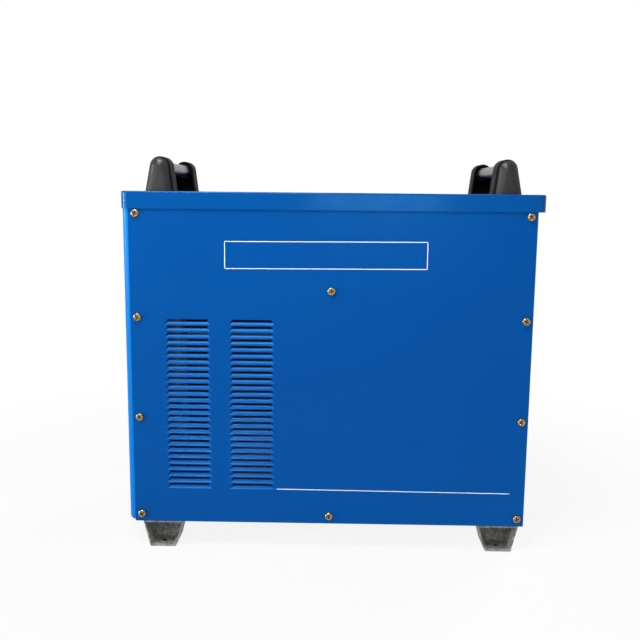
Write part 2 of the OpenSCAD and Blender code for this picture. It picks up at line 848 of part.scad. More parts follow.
module handle_post_rear_left() {
    handle_post(1, 1);
}

// Grip tube between two posts, closed by the sockets
module handle_tube(side) {
    end_y = post_y - post_depth + tube_socket;
    wall = 2;
    color("#8f949c") translate([side * handle_x, -end_y, tube_z]) difference() {
        rod_y(tube_d / 2, 2 * end_y);
        translate([0, -1, 0]) rod_y(tube_d / 2 - wall, 2 * end_y + 2);
    }
}

module handle_tube_front() {
    handle_tube(-1);
}

module handle_tube_rear() {
    handle_tube(1);
}

// Repeats children at the lid level under every handle bolt
module handle_bolt_places() {
    for (sx = [-1, 1], sy = [-1, 1], x = POST_BOLT_X)
        translate([sx * handle_x + x, sy * (post_y - post_bolt_y), z_lid - lid_t - rail_t / 2])
            children();
}

// Bolts from under the rails, through the lid, up into the posts
module handle_bolts() {
    color("#b8a25a") handle_bolt_places() translate([0, 0, -rail_t / 2]) {
        translate([0, 0, -bolt_head_h]) cylinder(r = bolt_head_r, h = bolt_head_h, $fn = HEX);
        cylinder(r = bolt_d / 2, h = rail_t + lid_t + post_bolt_l);
    }
}

// ---------------------------------------------------------------- feet

// Outline of a foot seen from the side of the machine. The end of the machine is at x = 0.
module foot_outline(wall, top) {
    slope_out = foot_out_taper / foot_h;
    kink_x = foot_top_w - foot_in_taper + foot_kink_w;
    z0 = wall > 0 ? foot_plate : 0;
    polygon([[wall, top], [foot_top_w - wall, top], [kink_x - wall, foot_kink_h],
        [foot_top_w - foot_in_taper - wall, z0],
        [foot_out_taper + wall - slope_out * z0, z0]]);
}

// Cast foot: an outer shape with a drafted pocket that is open to the machine's side
module foot_shape() {
    difference() {
        translate([0, foot_depth, 0]) rotate([90, 0, 0])
            linear_extrude(foot_depth) foot_outline(0, foot_h);
        hull() {
            translate([0, 0, 0]) rotate([90, 0, 0])
                linear_extrude(1) foot_outline(foot_wall, foot_h - foot_plate);
            translate([0, foot_depth - foot_plate, 0]) rotate([90, 0, 0])
                linear_extrude(0.1) foot_outline(foot_wall + foot_draft, foot_h - foot_plate);
        }
        translate([foot_hole_x, foot_hole_y, -1])
            cylinder(r = foot_hole_d / 2, h = foot_plate + 2);
        for (y = FOOT_BOLT_Y) translate([foot_bolt_x, y, foot_h - foot_plate - 1])
            cylinder(r = bolt_d / 2 + screw_clear, h = foot_plate + 2);
    }
}

// Moves a foot to its corner
module at_foot(sx, sy) {
    translate([sx < 0 ? foot_xf : foot_xr, sy * foot_y, 0])
        mirror([sx > 0 ? 1 : 0, 0, 0]) mirror([0, sy > 0 ? 1 : 0, 0]) children();
}

module foot(sx, sy) {
    color("#6d706c") at_foot(sx, sy) foot_shape();
}

module foot_front_right() {
    foot(-1, -1);
}

module foot_front_left() {
    foot(-1, 1);
}

module foot_rear_right() {
    foot(1, -1);
}

module foot_rear_left() {
    foot(1, 1);
}

// Bolts through the tray into the feet, each with its nut in the pocket
module foot_bolts() {
    under = foot_h - foot_plate;
    color("#b8a25a") for (sx = [-1, 1], sy = [-1, 1]) at_foot(sx, sy)
        for (y = FOOT_BOLT_Y) translate([foot_bolt_x, y, 0]) {
            translate([0, 0, tray_top]) cylinder(r = bolt_head_r, h = bolt_head_h, $fn = HEX);
            translate([0, 0, under - nut_h - 2]) cylinder(r = bolt_d / 2, h = tray_top - under + nut_h + 2);
            translate([0, 0, under - nut_h]) cylinder(r = bolt_head_r, h = nut_h, $fn = HEX);
        }
}

// ---------------------------------------------------------------- fasteners

// Pan-head screw: its head rises along -y from the sheet at y = 0, its shank goes into +y
module pan_screw(head_r, head_h, shank_r, shank_l) {
    dome_r = (head_r * head_r + head_h * head_h) / (2 * head_h);
    rod_y(shank_r, shank_l);
    rotate([90, 0, 0]) intersection() {
        cylinder(r = head_r, h = head_h);
        translate([0, 0, head_h + 0.8 - dome_r]) sphere(r = dome_r);
    }
}

module side_panel_screws() {
    color("#b5954a") both_sides() for (p = SIDE_SCREWS) translate([p[0], -y_out, p[1]])
        pan_screw(screw_head_d / 2, screw_head_h, screw_d / 2, screw_l);
}

// Small screws of the front panel and of the fan with its guard
module panel_screws() {
    head_h = 2;
    fan_grip = 8;
    color("#a9abad") {
        for (p = FRONT_PANEL_SCREWS) translate([fp_in, p[0], p[1]]) {
            rod_x(2 * panel_screw_r, head_h);
            translate([-plate_t - bezel_t, 0, 0]) rod_x(panel_screw_r, plate_t + bezel_t);
        }
        for (sy = [-1, 1], sz = [-1, 1])
            translate([rp_out + guard_wire, sy * fan_screw, fan_z + sz * fan_screw]) {
                rod_x(2 * fan_screw_r, head_h);
                translate([-plate_t - guard_wire - fan_grip, 0, 0])
                    rod_x(fan_screw_r, plate_t + guard_wire + fan_grip);
            }
    }
}

// ---------------------------------------------------------------- front controls

// Knob with a fluted grip, a skirt and the shaft that it turns on
module current_knob() {
    flutes = 18;
    flute_r = 1.6;
    grip_in = 4;
    skirt_h = 4;
    line_w = 1.6;
    r = knob_d / 2;
    back = fascia_x - knob_clear;
    shaft_in = fascia_t + knob_clear + plate_t + pot_d / 2;
    color("#1b1c1e") translate([back, 0, control_z]) rotate([0, -90, 0]) {
        cylinder(r = r, h = skirt_h);
        difference() {
            cylinder(r = r - grip_in, h = knob_h);
            for (i = [0:flutes - 1]) rotate([0, 0, i * 360 / flutes])
                translate([r - grip_in + flute_r / 2, 0, skirt_h])
                    cylinder(r = flute_r, h = knob_h, $fn = 16);
            translate([2, -line_w / 2, knob_h - 1]) cube([r, line_w, 2]);
        }
    }
    color("#c0c2c4") translate([back - eps, 0, control_z]) rod_x(knob_shaft_d / 2, shaft_in);
}

// Potentiometer behind the front panel, with the bushing that the knob's shaft turns in
module current_potentiometer() {
    bush_l = fascia_t + plate_t;
    lug_t = 2;
    lug_w = 16;
    lug_l = 18;
    color("#3a5f94") translate([fp_in, 0, control_z]) difference() {
        union() {
            rod_x(pot_r, pot_d);
            translate([-bush_l, 0, 0]) rod_x(pot_bush_r, bush_l + eps);
            span([0, -lug_w / 2, -lug_l], [lug_t, lug_w / 2, 0]);
        }
        translate([-bush_l - 1, 0, 0])
            rod_x(knob_shaft_d / 2 + fan_shaft_clear, bush_l + 1 + pot_d / 2 + 1);
    }
}

module display_window() {
    color("#12070a") span([fascia_x, -display_w / 2, display_z],
        [fp_x, display_w / 2, display_z + display_h]);
}

// Case of a drum switch: a box with a front rim and a round cavity for the drum.
// Local axes: the face is at x = 0, the drum's axis lies along y at x = pivot.
module drum_case(r, w, wall, rim, depth, pivot) {
    half_w = w / 2 + wall;
    half_h = r + wall;
    brim = 1.5;
    difference() {
        union() {
            span([0, -half_w, -half_h], [depth, half_w, half_h]);
            span([-rim, -half_w - brim, -half_h - brim], [0, half_w + brim, half_h + brim]);
        }
        translate([pivot, -w / 2 - drum_clear, 0]) rod_y(r + drum_clear, w + 2 * drum_clear);
        span([-rim - 1, -w / 2 - drum_clear, -r - drum_clear],
            [pivot, w / 2 + drum_clear, r + drum_clear]);
    }
}

// Drum of a rocker: round behind, a shallow V in front, tilted to its first position
module drum_rocker(r, w, throw) {
    nose = 4.5;
    far = 2 * r;
    rise = far * tan(throw / 2);
    rotate([0, throw / 2, 0]) translate([0, w / 2, 0]) rotate([90, 0, 0]) linear_extrude(w)
        difference() {
            circle(r = r);
            polygon([[-nose, 0], [-nose - rise, far], [-far - rise, far],
                [-far - rise, -far], [-nose - rise, -far]]);
        }
}

module rocker_case(side) {
    color("#141516") translate([fascia_x, side * rocker_offset, control_z])
        drum_case(rocker_r, rocker_w, rocker_wall, rocker_rim, rocker_case_d, rocker_pivot);
}

module rocker(side) {
    color("#33363a") translate([fascia_x + rocker_pivot, side * rocker_offset, control_z])
        drum_rocker(rocker_r, rocker_w, rocker_throw);
}

module mode_switch_body() {
    rocker_case(-1);
}

module mode_rocker() {
    rocker(-1);
}

module gas_switch_body() {
    rocker_case(1);
}

module gas_rocker() {
    rocker(1);
}

// Lamps with a domed lens in front and a plain body behind
module indicator_lamps() {
    lens_h = 2.5;
    rim_w = 1;
    body_l = fascia_t + plate_t + 8;
    color("#c8452e") for (y = LAMP_Y) translate([fascia_x, y, lamp_z]) {
        rod_x(lamp_r, body_l);
        intersection() {
            translate([-lens_h, 0, 0]) rod_x(lamp_r, lens_h + 1);
            translate([lamp_r - lens_h - 0.5, 0, 0]) sphere(r = lamp_r);
        }
        translate([-rim_w, 0, 0]) rod_x(lamp_r + rim_w, rim_w);
    }
}

// ---------------------------------------------------------------- front connections

// Brass torch coupling: flange, hexagon with a threaded bore, and a tail for the gas hose
module torch_coupling() {
    front = 24;
    flange_r = 20;
    flange_t = 5;
    hex_r = 15;
    nut_r = 17;
    tail_r = 7;
    gas_r = 3;
    color("#b08d3c") translate([fp_x, torch_y, socket_z]) difference() {
        union() {
            translate([-flange_t, 0, 0]) rod_x(flange_r, flange_t);
            translate([-front, 0, 0]) hex_x(hex_r, front - flange_t + 1);
            rod_x(torch_neck_r, plate_t + flange_t);
            translate([plate_t, 0, 0]) hex_x(nut_r, flange_t);
            translate([plate_t + flange_t - eps, 0, 0]) rod_x(tail_r, torch_tail - flange_t + eps);
        }
        translate([-front - 1, 0, 0]) rod_x(torch_bore_r, torch_bore_l + 1);
        translate([-front - 1, 0, 0]) rod_x(gas_r, front + plate_t + torch_tail + 2);
    }
}

// Pilot-arc terminal: an insulating collar, a stud and a thumb nut
module pilot_terminal() {
    collar_r = 11;
    collar_h = 7;
    inner_r = 9;
    inner_h = 5;
    stud = 3;
    stud_out = 22;
    nut_r = 7;
    nut_x = 16;
    color("#7e2722") translate([fp_x, pilot_y, socket_z]) {
        translate([-collar_h, 0, 0]) rod_x(collar_r, collar_h);
        rod_x(pilot_neck_r, plate_t);
        translate([plate_t, 0, 0]) rod_x(inner_r, inner_h);
        translate([-stud_out, 0, 0]) rod_x(stud, stud_out + plate_t + 2 * inner_h);
        translate([-nut_x, 0, 0]) hex_x(nut_r, nut_x - collar_h - 1);
    }
}

// Round control socket with a threaded collar and two contact pins
module control_socket() {
    flange_r = 13;
    flange_t = 3;
    collar_r = 9;
    collar_h = 12;
    cup_r = 7;
    pin_r = 0.9;
    pin_l = 8;
    color("#a7aaad") translate([fp_x, control_y, socket_z]) {
        difference() {
            union() {
                translate([-flange_t, 0, 0]) rod_x(flange_r, flange_t);
                translate([-collar_h, 0, 0]) rod_x(collar_r, collar_h - flange_t + 1);
                rod_x(control_neck_r, plate_t + collar_h);
            }
            translate([-collar_h - 1, 0, 0]) rod_x(cup_r, collar_h - flange_t + 1);
        }
        for (s = [-1, 1]) translate([-flange_t - pin_l + 1, s * 3 * pin_r, 0]) rod_x(pin_r, pin_l);
    }
}

// Work-lead socket: an insulating collar round a brass bore with a key slot
module output_socket() {
    front = 16;
    flange_r = 26;
    flange_t = 8;
    collar_r = 21;
    tail_r = 11;
    tail_l = 20;
    key_w = 3.2;
    key_h = 2.2;
    color("#202124") translate([fp_x, output_y, socket_z]) difference() {
        union() {
            translate([-flange_t, 0, 0]) rod_x(flange_r, flange_t);
            translate([-front, 0, 0]) rod_x(collar_r, front - flange_t + 1);
            rod_x(output_neck_r, plate_t + flange_t);
            translate([plate_t + flange_t - eps, 0, 0]) rod_x(tail_r, tail_l);
        }
        translate([-front - 1, 0, 0]) rod_x(output_bore_r, output_bore_l + 1);
        translate([-front - 1, -key_w / 2, 0])
            span([0, 0, 0], [output_bore_l - 8, key_w, output_bore_r + key_h]);
    }
}

// ---------------------------------------------------------------- rear side

// Square fan frame with a round duct and a spider that carries the motor's bearing
module fan_frame() {
    // Width of a spider arm, and how far its faces lie behind the hub's
    arm_w = 8;
    arm_set = 0.5;
    thread_l = 12;
    color("#26282b") translate([fan_x, 0, fan_z]) {
        difference() {
            span([0, -fan_size / 2, -fan_size / 2], [fan_depth, fan_size / 2, fan_size / 2]);
            translate([-1, 0, 0]) rod_x(fan_duct_r, fan_depth + 2);
            for (sy = [-1, 1], sz = [-1, 1])
                translate([fan_depth - thread_l, sy * fan_screw, sz * fan_screw])
                    rod_x(fan_hole_r, thread_l + 1);
        }
        translate([spider_x, 0, 0]) difference() {
            union() {
                rod_x(fan_hub_r, fan_spider);
                for (a = [0:90:270]) rotate([a + 45, 0, 0])
                    span([arm_set, -arm_w / 2, fan_hub_r - arm_w / 2],
                        [fan_spider - arm_set, arm_w / 2, fan_duct_r + 2]);
            }
            translate([-1, 0, 0]) rod_x(fan_shaft_r + fan_shaft_clear, fan_spider + 2);
        }
    }
}

// Section of a fan blade, along the axis (x) and round it (y): pitched and slightly curved
function blade_section(chord, pitch, camber, thick) =
    let (steps = 6, side = [for (i = [0:steps]) let (t = i / steps)
        [t * chord, pitch * chord * (t - 0.5) + 4 * camber * t * (1 - t)]])
    concat(side, [for (i = [steps:-1:0]) side[i] + [0, thick]]);

// Impeller: hub with curved blades and the shaft that runs in the spider
module fan_rotor() {
    gap = 0.5;
    blade_in = 2;
    root = 6;
    hub_l = fan_depth - spider_x - fan_spider - 7 * gap;
    blade = blade_section(hub_l - 2 * blade_in, 0.8, 3, 2.6);
    color("#3b3e42") translate([fan_x + spider_x + fan_spider + gap, 0, fan_z]) {
        rod_x(fan_hub_r, hub_l);
        translate([-fan_spider, 0, 0]) rod_x(fan_shaft_r, fan_spider + 1);
        intersection() {
            for (i = [0:fan_blades - 1]) rotate([i * 360 / fan_blades, 0, 0])
                translate([blade_in, 0, fan_hub_r - root])
                    linear_extrude(fan_tip_r - fan_hub_r + root) polygon(blade);
            rod_x(fan_tip_r, hub_l);
        }
    }
}

// Wire guard over the fan's opening
module fan_guard() {
    rings = 5;
    foot_r = 7;
    wire_r = guard_wire / 2;
    corner = fan_screw * sqrt(2);
    ring_r = [for (i = [1:rings]) i * (fan_duct_r + 6) / rings];
    color("#b9bcc0") translate([rp_out + 3 * wire_r, 0, fan_z]) {
        for (r = ring_r) ring_x(r, wire_r);
        for (a = [45:90:315]) rotate([a, 0, 0]) translate([-wire_r, 0, 0])
            difference() {
                union() {
                    translate([-wire_r, -wire_r, ring_r[0]])
                        cube([guard_wire, guard_wire, corner - ring_r[0] - foot_r + 2]);
                    translate([-2 * wire_r, 0, corner]) rod_x(foot_r, guard_wire);
                }
                translate([-4 * wire_r, 0, corner]) rod_x(fan_hole_r, 4 * guard_wire);
            }
    }
}

// Three-pole mains breaker behind the rear panel, with its nose through the panel
module breaker_body() {
    nose_t = breaker_nose + plate_t;
    half_w = breaker_w / 2;
    color("#d9d9d4") translate([rp_out + breaker_nose, breaker_y, breaker_z])
        mirror([1, 0, 0]) difference() {
            union() {
                span([0, -half_w - breaker_wall, -breaker_r - breaker_wall],
                    [nose_t, half_w + breaker_wall, breaker_r + breaker_wall]);
                span([nose_t, -breaker_body_w / 2, -breaker_body_h / 2],
                    [breaker_body_d, breaker_body_w / 2, breaker_body_h / 2]);
            }
            translate([breaker_pivot, -half_w - drum_clear, 0])
                rod_y(breaker_r + drum_clear, breaker_w + 2 * drum_clear);
            span([-1, -half_w - drum_clear, -breaker_r - drum_clear],
                [breaker_pivot, half_w + drum_clear, breaker_r + drum_clear]);
        }
}

// Breaker lever: a drum with a blade, resting in the off position
module breaker_lever() {
    blade_l = 22;
    blade_t = 5;
    color("#1c1d1f") translate([rp_out + breaker_nose - breaker_pivot, breaker_y, breaker_z])
        rotate([0, breaker_throw / 2, 0]) {
            translate([0, -breaker_w / 2, 0]) rod_y(breaker_r, breaker_w);
            span([0, -breaker_w / 2, -blade_t / 2], [blade_l, breaker_w / 2, blade_t / 2]);
        }
}

// Mains cable gland, with a hexagon outside and a lock nut inside. Its clamp grips the cable
// from a little outside the plate on; the entry behind is wider.
module cable_gland() {
    dome_r = gland_bore_r + 7;
    hex_t = 7;
    dome_l = 14;
    tip_l = 7;
    nut_t = 5;
    thread_l = 14;
    color("#2a2b2d") translate([rp_out, gland_y, gland_z]) difference() {
        union() {
            hex_x(gland_bore_r + 9, hex_t);
            rod_x(dome_r, dome_l);
            translate([dome_l - 1, 0, 0]) rod_x(dome_r - 3, tip_l + 1);
            translate([-plate_t - thread_l, 0, 0]) rod_x(gland_neck_r, plate_t + thread_l + eps);
            translate([-plate_t - nut_t, 0, 0]) hex_x(gland_bore_r + 8, nut_t);
        }
        translate([-plate_t - thread_l - 1, 0, 0])
            rod_x(gland_bore_r, plate_t + thread_l + dome_l + tip_l + 2);
        translate([-plate_t - thread_l - 1, 0, 0])
            rod_x(gland_bore_r + gland_entry, plate_t + thread_l + 1 + gland_seat);
    }
}

// Bulkhead nipple for the gas supply, screwed into the valve behind the panel
module gas_inlet() {
    hex_t = 5;
    bore_r = 3;
    color("#b08d3c") translate([rp_out, gas_y, gas_z]) difference() {
        union() {
            hex_x(gas_pin_r + 5, hex_t);
            rod_x(gas_pin_r, hex_t + gas_pin_l);
            translate([-plate_t - valve_gap, 0, 0]) rod_x(gas_pin_r, plate_t + valve_gap + eps);
        }
        translate([-plate_t - valve_gap - 1, 0, 0])
            rod_x(bore_r, plate_t + valve_gap + hex_t + gas_pin_l + 2);
    }
}

// Earth stud with its inner head, a washer and a nut
module earth_stud() {
    head_t = 4;
    nut_t = 6.5;
    washer_t = 1.5;
    color("#b8a25a") translate([rp_out, stud_y, stud_z]) {
        translate([-plate_t - head_t, 0, 0]) hex_x(2 * stud_r, head_t);
        translate([-plate_t - eps, 0, 0]) rod_x(stud_r, plate_t + washer_t + nut_t + stud_l);
        rod_x(2.4 * stud_r, washer_t);
        translate([washer_t, 0, 0]) hex_x(2 * stud_r, nut_t);
    }
}

// ---------------------------------------------------------------- power parts

// Insulating boards on both sides of the cooling tunnel
module tunnel_boards() {
    color("#3a2f28") both_sides() span([tunnel_x0, -tunnel_w / 2 - tunnel_t, tray_top],
        [tunnel_x1, -tunnel_w / 2, tray_top + tunnel_h]);
}

// Extruded heatsink with its fins down, between the tunnel boards
module heatsink(z0) {
    pitch = (tunnel_w - fin_t) / (sink_fins - 1);
    color("#aeb3b8") translate([tunnel_x0, 0, z0]) rotate([90, 0, 90])
        linear_extrude(tunnel_l) union() {
            translate([-tunnel_w / 2, sink_h - sink_base]) square([tunnel_w, sink_base]);
            for (i = [0:sink_fins - 1])
                translate([-tunnel_w / 2 + i * pitch, 0]) square([fin_t, sink_h]);
        }
}

module heatsink_lower() {
    heatsink(sink_z0);
}

module heatsink_upper() {
    heatsink(sink_z1);
}

// Power module: a block with three screw terminals
module power_module(l, w) {
    post_r = 5;
    post_l = 6;
    span([0, -w / 2, 0], [l, w / 2, module_h - post_l]);
    for (i = [0:2]) translate([l * (i + 0.5) / 3, 0, module_h - post_l - eps])
        cylinder(r = post_r, h = post_l);
}

module igbt_modules() {
    l = 92;
    w = 46;
    pitch = 70;
    color("#2c2d30") for (i = [-1:1])
        translate([tunnel_x0 + (tunnel_l - l) / 2, i * pitch, sink_z0 + sink_h]) power_module(l, w);
}

module rectifier_modules() {
    l = 80;
    w = 34;
    pitch = 60;
    color("#3a3330") for (i = [-1, 1])
        translate([tunnel_x0 + (tunnel_l - l) / 2, i * pitch, sink_z1 + sink_h]) power_module(l, w);
}

// Power board on top of the tunnel boards
module power_board() {
    color("#1f5b35") span([tunnel_x0, -tunnel_w / 2 - tunnel_t, power_z],
        [tunnel_x1, tunnel_w / 2 + tunnel_t, power_z + board_t]);
}

// Reservoir capacitors standing on the power board
module capacitor_bank() {
    gap = 6;
    crimp = 3;
    color("#20242c") for (x = [-1, 0, 1], y = [-1, 1])
        translate([tunnel_x0 + tunnel_l / 2 + x * (cap_can_d + gap), y * (cap_can_d / 2 + gap),
            power_z + board_t]) {
            cylinder(r = cap_can_d / 2, h = cap_can_h - 2);
            cylinder(r = cap_can_d / 2 - crimp, h = cap_can_h);
        }
}

// Laminated core with a window on each side of the middle leg
module transformer_core() {
    window_l = (core_l - 3 * core_leg) / 2;
    color("#4a4c50") translate([core_x0, -core_w / 2, tray_top]) difference() {
        span([0, 0, 0], [core_l, core_w, core_h]);
        for (x = [core_leg, 2 * core_leg + window_l])
            span([x, -1, core_leg], [x + window_l, core_w + 1, core_h - core_leg]);
    }
}

// Winding round the core's middle leg
module transformer_winding() {
    window_l = (core_l - 3 * core_leg) / 2;
    leg_x = core_x0 + core_leg + window_l;
    build = window_l - 2 * winding_gap;
    z0 = tray_top + core_leg + winding_gap;
    z1 = tray_top + core_h - core_leg - winding_gap;
    color("#8a4b22") difference() {
        span([leg_x - winding_gap - build, -core_w / 2 - winding_gap - build, z0],
            [leg_x + core_leg + winding_gap + build, core_w / 2 + winding_gap + build, z1]);
        span([leg_x - winding_gap, -core_w / 2 - winding_gap, z0 - 1],
            [leg_x + core_leg + winding_gap, core_w / 2 + winding_gap, z1 + 1]);
    }
}

// Output choke: a wound core on a mounting plate
module output_choke() {
    foot_t = 6;
    side = 6;
    end = 12;
    coil_h = 96;
    color("#7d6a3a") translate([choke_x0, choke_y0, tray_top]) {
        cube([choke_l, choke_w, foot_t]);
        translate([side, end, foot_t - eps]) cube([choke_l - 2 * side, choke_w - 2 * end, coil_h]);
    }
}

// Control board on four pillars
module control_board() {
    stand = 10;
    board_l = 180;
    pillar_in = 8;
    half_w = y_in - shelf_side_gap - 10;
    top = shelf_top + stand + board_t;
    color("#1f5b35") translate([control_board_x, 0, 0]) {
        span([0, -half_w, shelf_top + stand], [board_l, half_w, top]);
        for (x = [pillar_in, board_l - pillar_in], y = [pillar_in - half_w, half_w - pillar_in])
            translate([x, y, shelf_top]) cylinder(r = 3, h = stand + eps);
        translate([30, -60, top - eps]) cube([40, 40, 14]);
        translate([100, 10, top - eps]) cube([50, 60, 22]);
    }
}

// Small supply transformer on the shelf
module control_transformer() {
    foot = [66, 56, 4];
    core = [54, 56, 58];
    coil = [38, 72, 38];
    y0 = y_in - shelf_side_gap - 90;
    color("#5a4d3c") translate([shelf_parts_x, y0, shelf_top]) {
        cube(foot);
        translate([(foot[0] - core[0]) / 2, 0, foot[2] - eps]) cube(core);
        translate([(foot[0] - coil[0]) / 2, (foot[1] - coil[1]) / 2, foot[2] + 10]) cube(coil);
    }
}

// High-frequency arc starter: a potted box with two terminals
module arc_starter() {
    box = [90, 70, 46];
    post_r = 6;
    post_l = 14;
    post_in = 20;
    color("#33373d") translate([shelf_parts_x, -y_in + shelf_side_gap, shelf_top]) {
        cube(box);
        for (x = [post_in, box[0] - post_in]) translate([x, box[1] / 2, box[2] - eps])
            cylinder(r = post_r, h = post_l);
    }
}

// Solenoid valve on the inner end of the gas inlet
module gas_valve() {
    coil_r = 9;
    barb_l = 8;
    color("#8f7f45") translate([rp_x - valve_gap - valve_l, gas_y, gas_z]) {
        span([0, -valve_w / 2, -valve_w / 2], [valve_l, valve_w / 2, valve_w / 2]);
        translate([valve_l / 2, 0, valve_w / 2 - eps]) cylinder(r = coil_r, h = valve_coil_h);
        translate([-barb_l, 0, 0]) rod_x(barb_r, barb_l + eps);
    }
}

// Quarter bend of the gas hose in the local XY plane, from +x to +y round the origin
module hose_elbow() {
    rotate_extrude(angle = 90) translate([hose_bend, 0]) circle(r = hose_r);
}

// Gas hose: from the valve along the side over the power board, down in front of the
// transformer, then across to the torch coupling's tail
module gas_hose() {
    barb_l = 9;
    x1 = rp_x - valve_gap - valve_l;
    tail_x = fp_in + torch_tail;
    drop_x = tail_x + hose_bend + 4;
    y_step = torch_y - gas_y;
    color("#2a5c8a") difference() {
        union() {
            translate([drop_x + hose_bend, gas_y, gas_z]) rod_x(hose_r, x1 - drop_x - hose_bend);
            translate([drop_x + hose_bend, gas_y, gas_z - hose_bend])
                rotate([90, 0, 0]) rotate([0, 0, 90]) hose_elbow();
            translate([drop_x, gas_y, socket_z + hose_bend - eps])
                cylinder(r = hose_r, h = gas_z - socket_z - 2 * hose_bend + 2 * eps);
            translate([drop_x, gas_y + hose_bend, socket_z + hose_bend])
                rotate([90, 0, 90]) rotate([0, 0, 180]) hose_elbow();
            translate([drop_x, gas_y + hose_bend - eps, socket_z])
                rod_y(hose_r, y_step - 2 * hose_bend + 2 * eps);
            translate([drop_x - hose_bend, torch_y - hose_bend, socket_z]) hose_elbow();
            translate([tail_x, torch_y, socket_z])
                rod_x(hose_r, drop_x - hose_bend - tail_x + eps);
        }
        translate([x1 - barb_l, gas_y, gas_z]) rod_x(barb_r + fan_shaft_clear, barb_l + 3);
    }
}

base_tray();
front_bezel();
front_panel();
control_fascia();
rear_panel();
rear_frame();
side_panel_right();
side_panel_left();
top_cover();
top_rails();
mid_shelf();
handle_post_front_right();
handle_post_front_left();
handle_post_rear_right();
handle_post_rear_left();
handle_tube_front();
handle_tube_rear();
foot_front_right();
foot_front_left();
foot_rear_right();
foot_rear_left();
side_panel_screws();
handle_bolts();
foot_bolts();
panel_screws();
current_knob();
current_potentiometer();
display_window();
mode_switch_body();
mode_rocker();
gas_switch_body();
gas_rocker();
indicator_lamps();
torch_coupling();
pilot_terminal();
control_socket();
output_socket();
fan_frame();
fan_rotor();
fan_guard();
breaker_body();
breaker_lever();
cable_gland();
gas_inlet();
earth_stud();
tunnel_boards();
heatsink_lower();
heatsink_upper();
igbt_modules();
rectifier_modules();
power_board();
capacitor_bank();
transformer_core();
transformer_winding();
output_choke();
control_board();
control_transformer();
arc_starter();
gas_valve();
gas_hose();
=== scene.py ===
"""Looks of a cabinet plasma cutter: its finishes, its detailed pieces, the studio and the camera.

Lengths in fields are millimetres and angles degrees, unless a docstring gives another unit.
"""
import json
import logging
import math
import random
from collections.abc import Callable
from dataclasses import dataclass
from enum import Enum
from functools import lru_cache
from typing import ClassVar, Protocol

import bpy
from mathutils import Matrix, Vector


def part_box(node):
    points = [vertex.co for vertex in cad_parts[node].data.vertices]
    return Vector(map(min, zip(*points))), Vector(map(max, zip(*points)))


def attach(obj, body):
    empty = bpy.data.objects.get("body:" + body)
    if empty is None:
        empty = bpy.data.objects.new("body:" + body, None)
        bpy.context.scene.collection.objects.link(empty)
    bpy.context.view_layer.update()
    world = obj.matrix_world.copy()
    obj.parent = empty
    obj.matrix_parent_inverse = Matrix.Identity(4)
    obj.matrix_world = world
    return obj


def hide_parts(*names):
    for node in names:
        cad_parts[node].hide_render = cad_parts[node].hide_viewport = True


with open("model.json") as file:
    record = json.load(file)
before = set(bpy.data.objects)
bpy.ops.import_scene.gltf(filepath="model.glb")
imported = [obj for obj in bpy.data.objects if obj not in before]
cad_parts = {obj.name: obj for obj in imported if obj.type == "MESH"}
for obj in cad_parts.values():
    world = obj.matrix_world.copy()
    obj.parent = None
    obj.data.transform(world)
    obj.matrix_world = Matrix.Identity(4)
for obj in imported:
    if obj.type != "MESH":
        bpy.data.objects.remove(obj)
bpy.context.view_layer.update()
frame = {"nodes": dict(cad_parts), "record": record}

MM = 0.001
Pair = tuple[float, float]
Triple = tuple[float, float, float]
Object = bpy.types.Object
Socket = bpy.types.NodeSocket
Tree = bpy.types.NodeTree
WHITE: Triple = (1.0, 1.0, 1.0)
EVEN: Triple = (1.0, 1.0, 1.0)
ALONG_X: Triple = (0.05, 1.0, 1.0)
ALONG_Y: Triple = (1.0, 0.05, 1.0)
log = logging.getLogger("plasma_cutter")


class Body(Enum):
    """The bodies that pieces ride on."""

    CABINET = "cabinet"
    KNOB = "current_dial_knob"
    MODE = "mode_switch_rocker"
    GAS = "gas_switch_rocker"
    BREAKER = "mains_breaker_lever"
    FAN = "fan_impeller"


# -------- finishes


def remap(tree: Tree, source: Socket, was: Pair, now: Pair) -> Socket:
    """Maps one range of a value to another.

    Args:
        tree: The node tree.
        source: The value.
        was: The range that it has.
        now: The range that it gets.

    Returns:
        The new value.
    """
    node = tree.nodes.new("ShaderNodeMapRange")
    for key, value in zip(("From Min", "From Max", "To Min", "To Max"), (*was, *now)):
        node.inputs[key].default_value = value
    tree.links.new(source, node.inputs["Value"])
    return node.outputs["Result"]


def shades(colour: Triple, factors: Pair) -> tuple[Triple, Triple]:
    """Makes a darker and a lighter tone of a colour.

    Args:
        colour: The colour.
        factors: The multiplier of each tone.

    Returns:
        The two tones.
    """
    dark, light = (tuple(min(1.0, c * factor) for c in colour) for factor in factors)
    return dark, light


@dataclass(frozen=True)
class Noise:
    """A noise pattern, by its waves a metre, its octaves and the factors that draw it out."""

    scale: float
    detail: float = 3.0
    stretch: Triple = EVEN


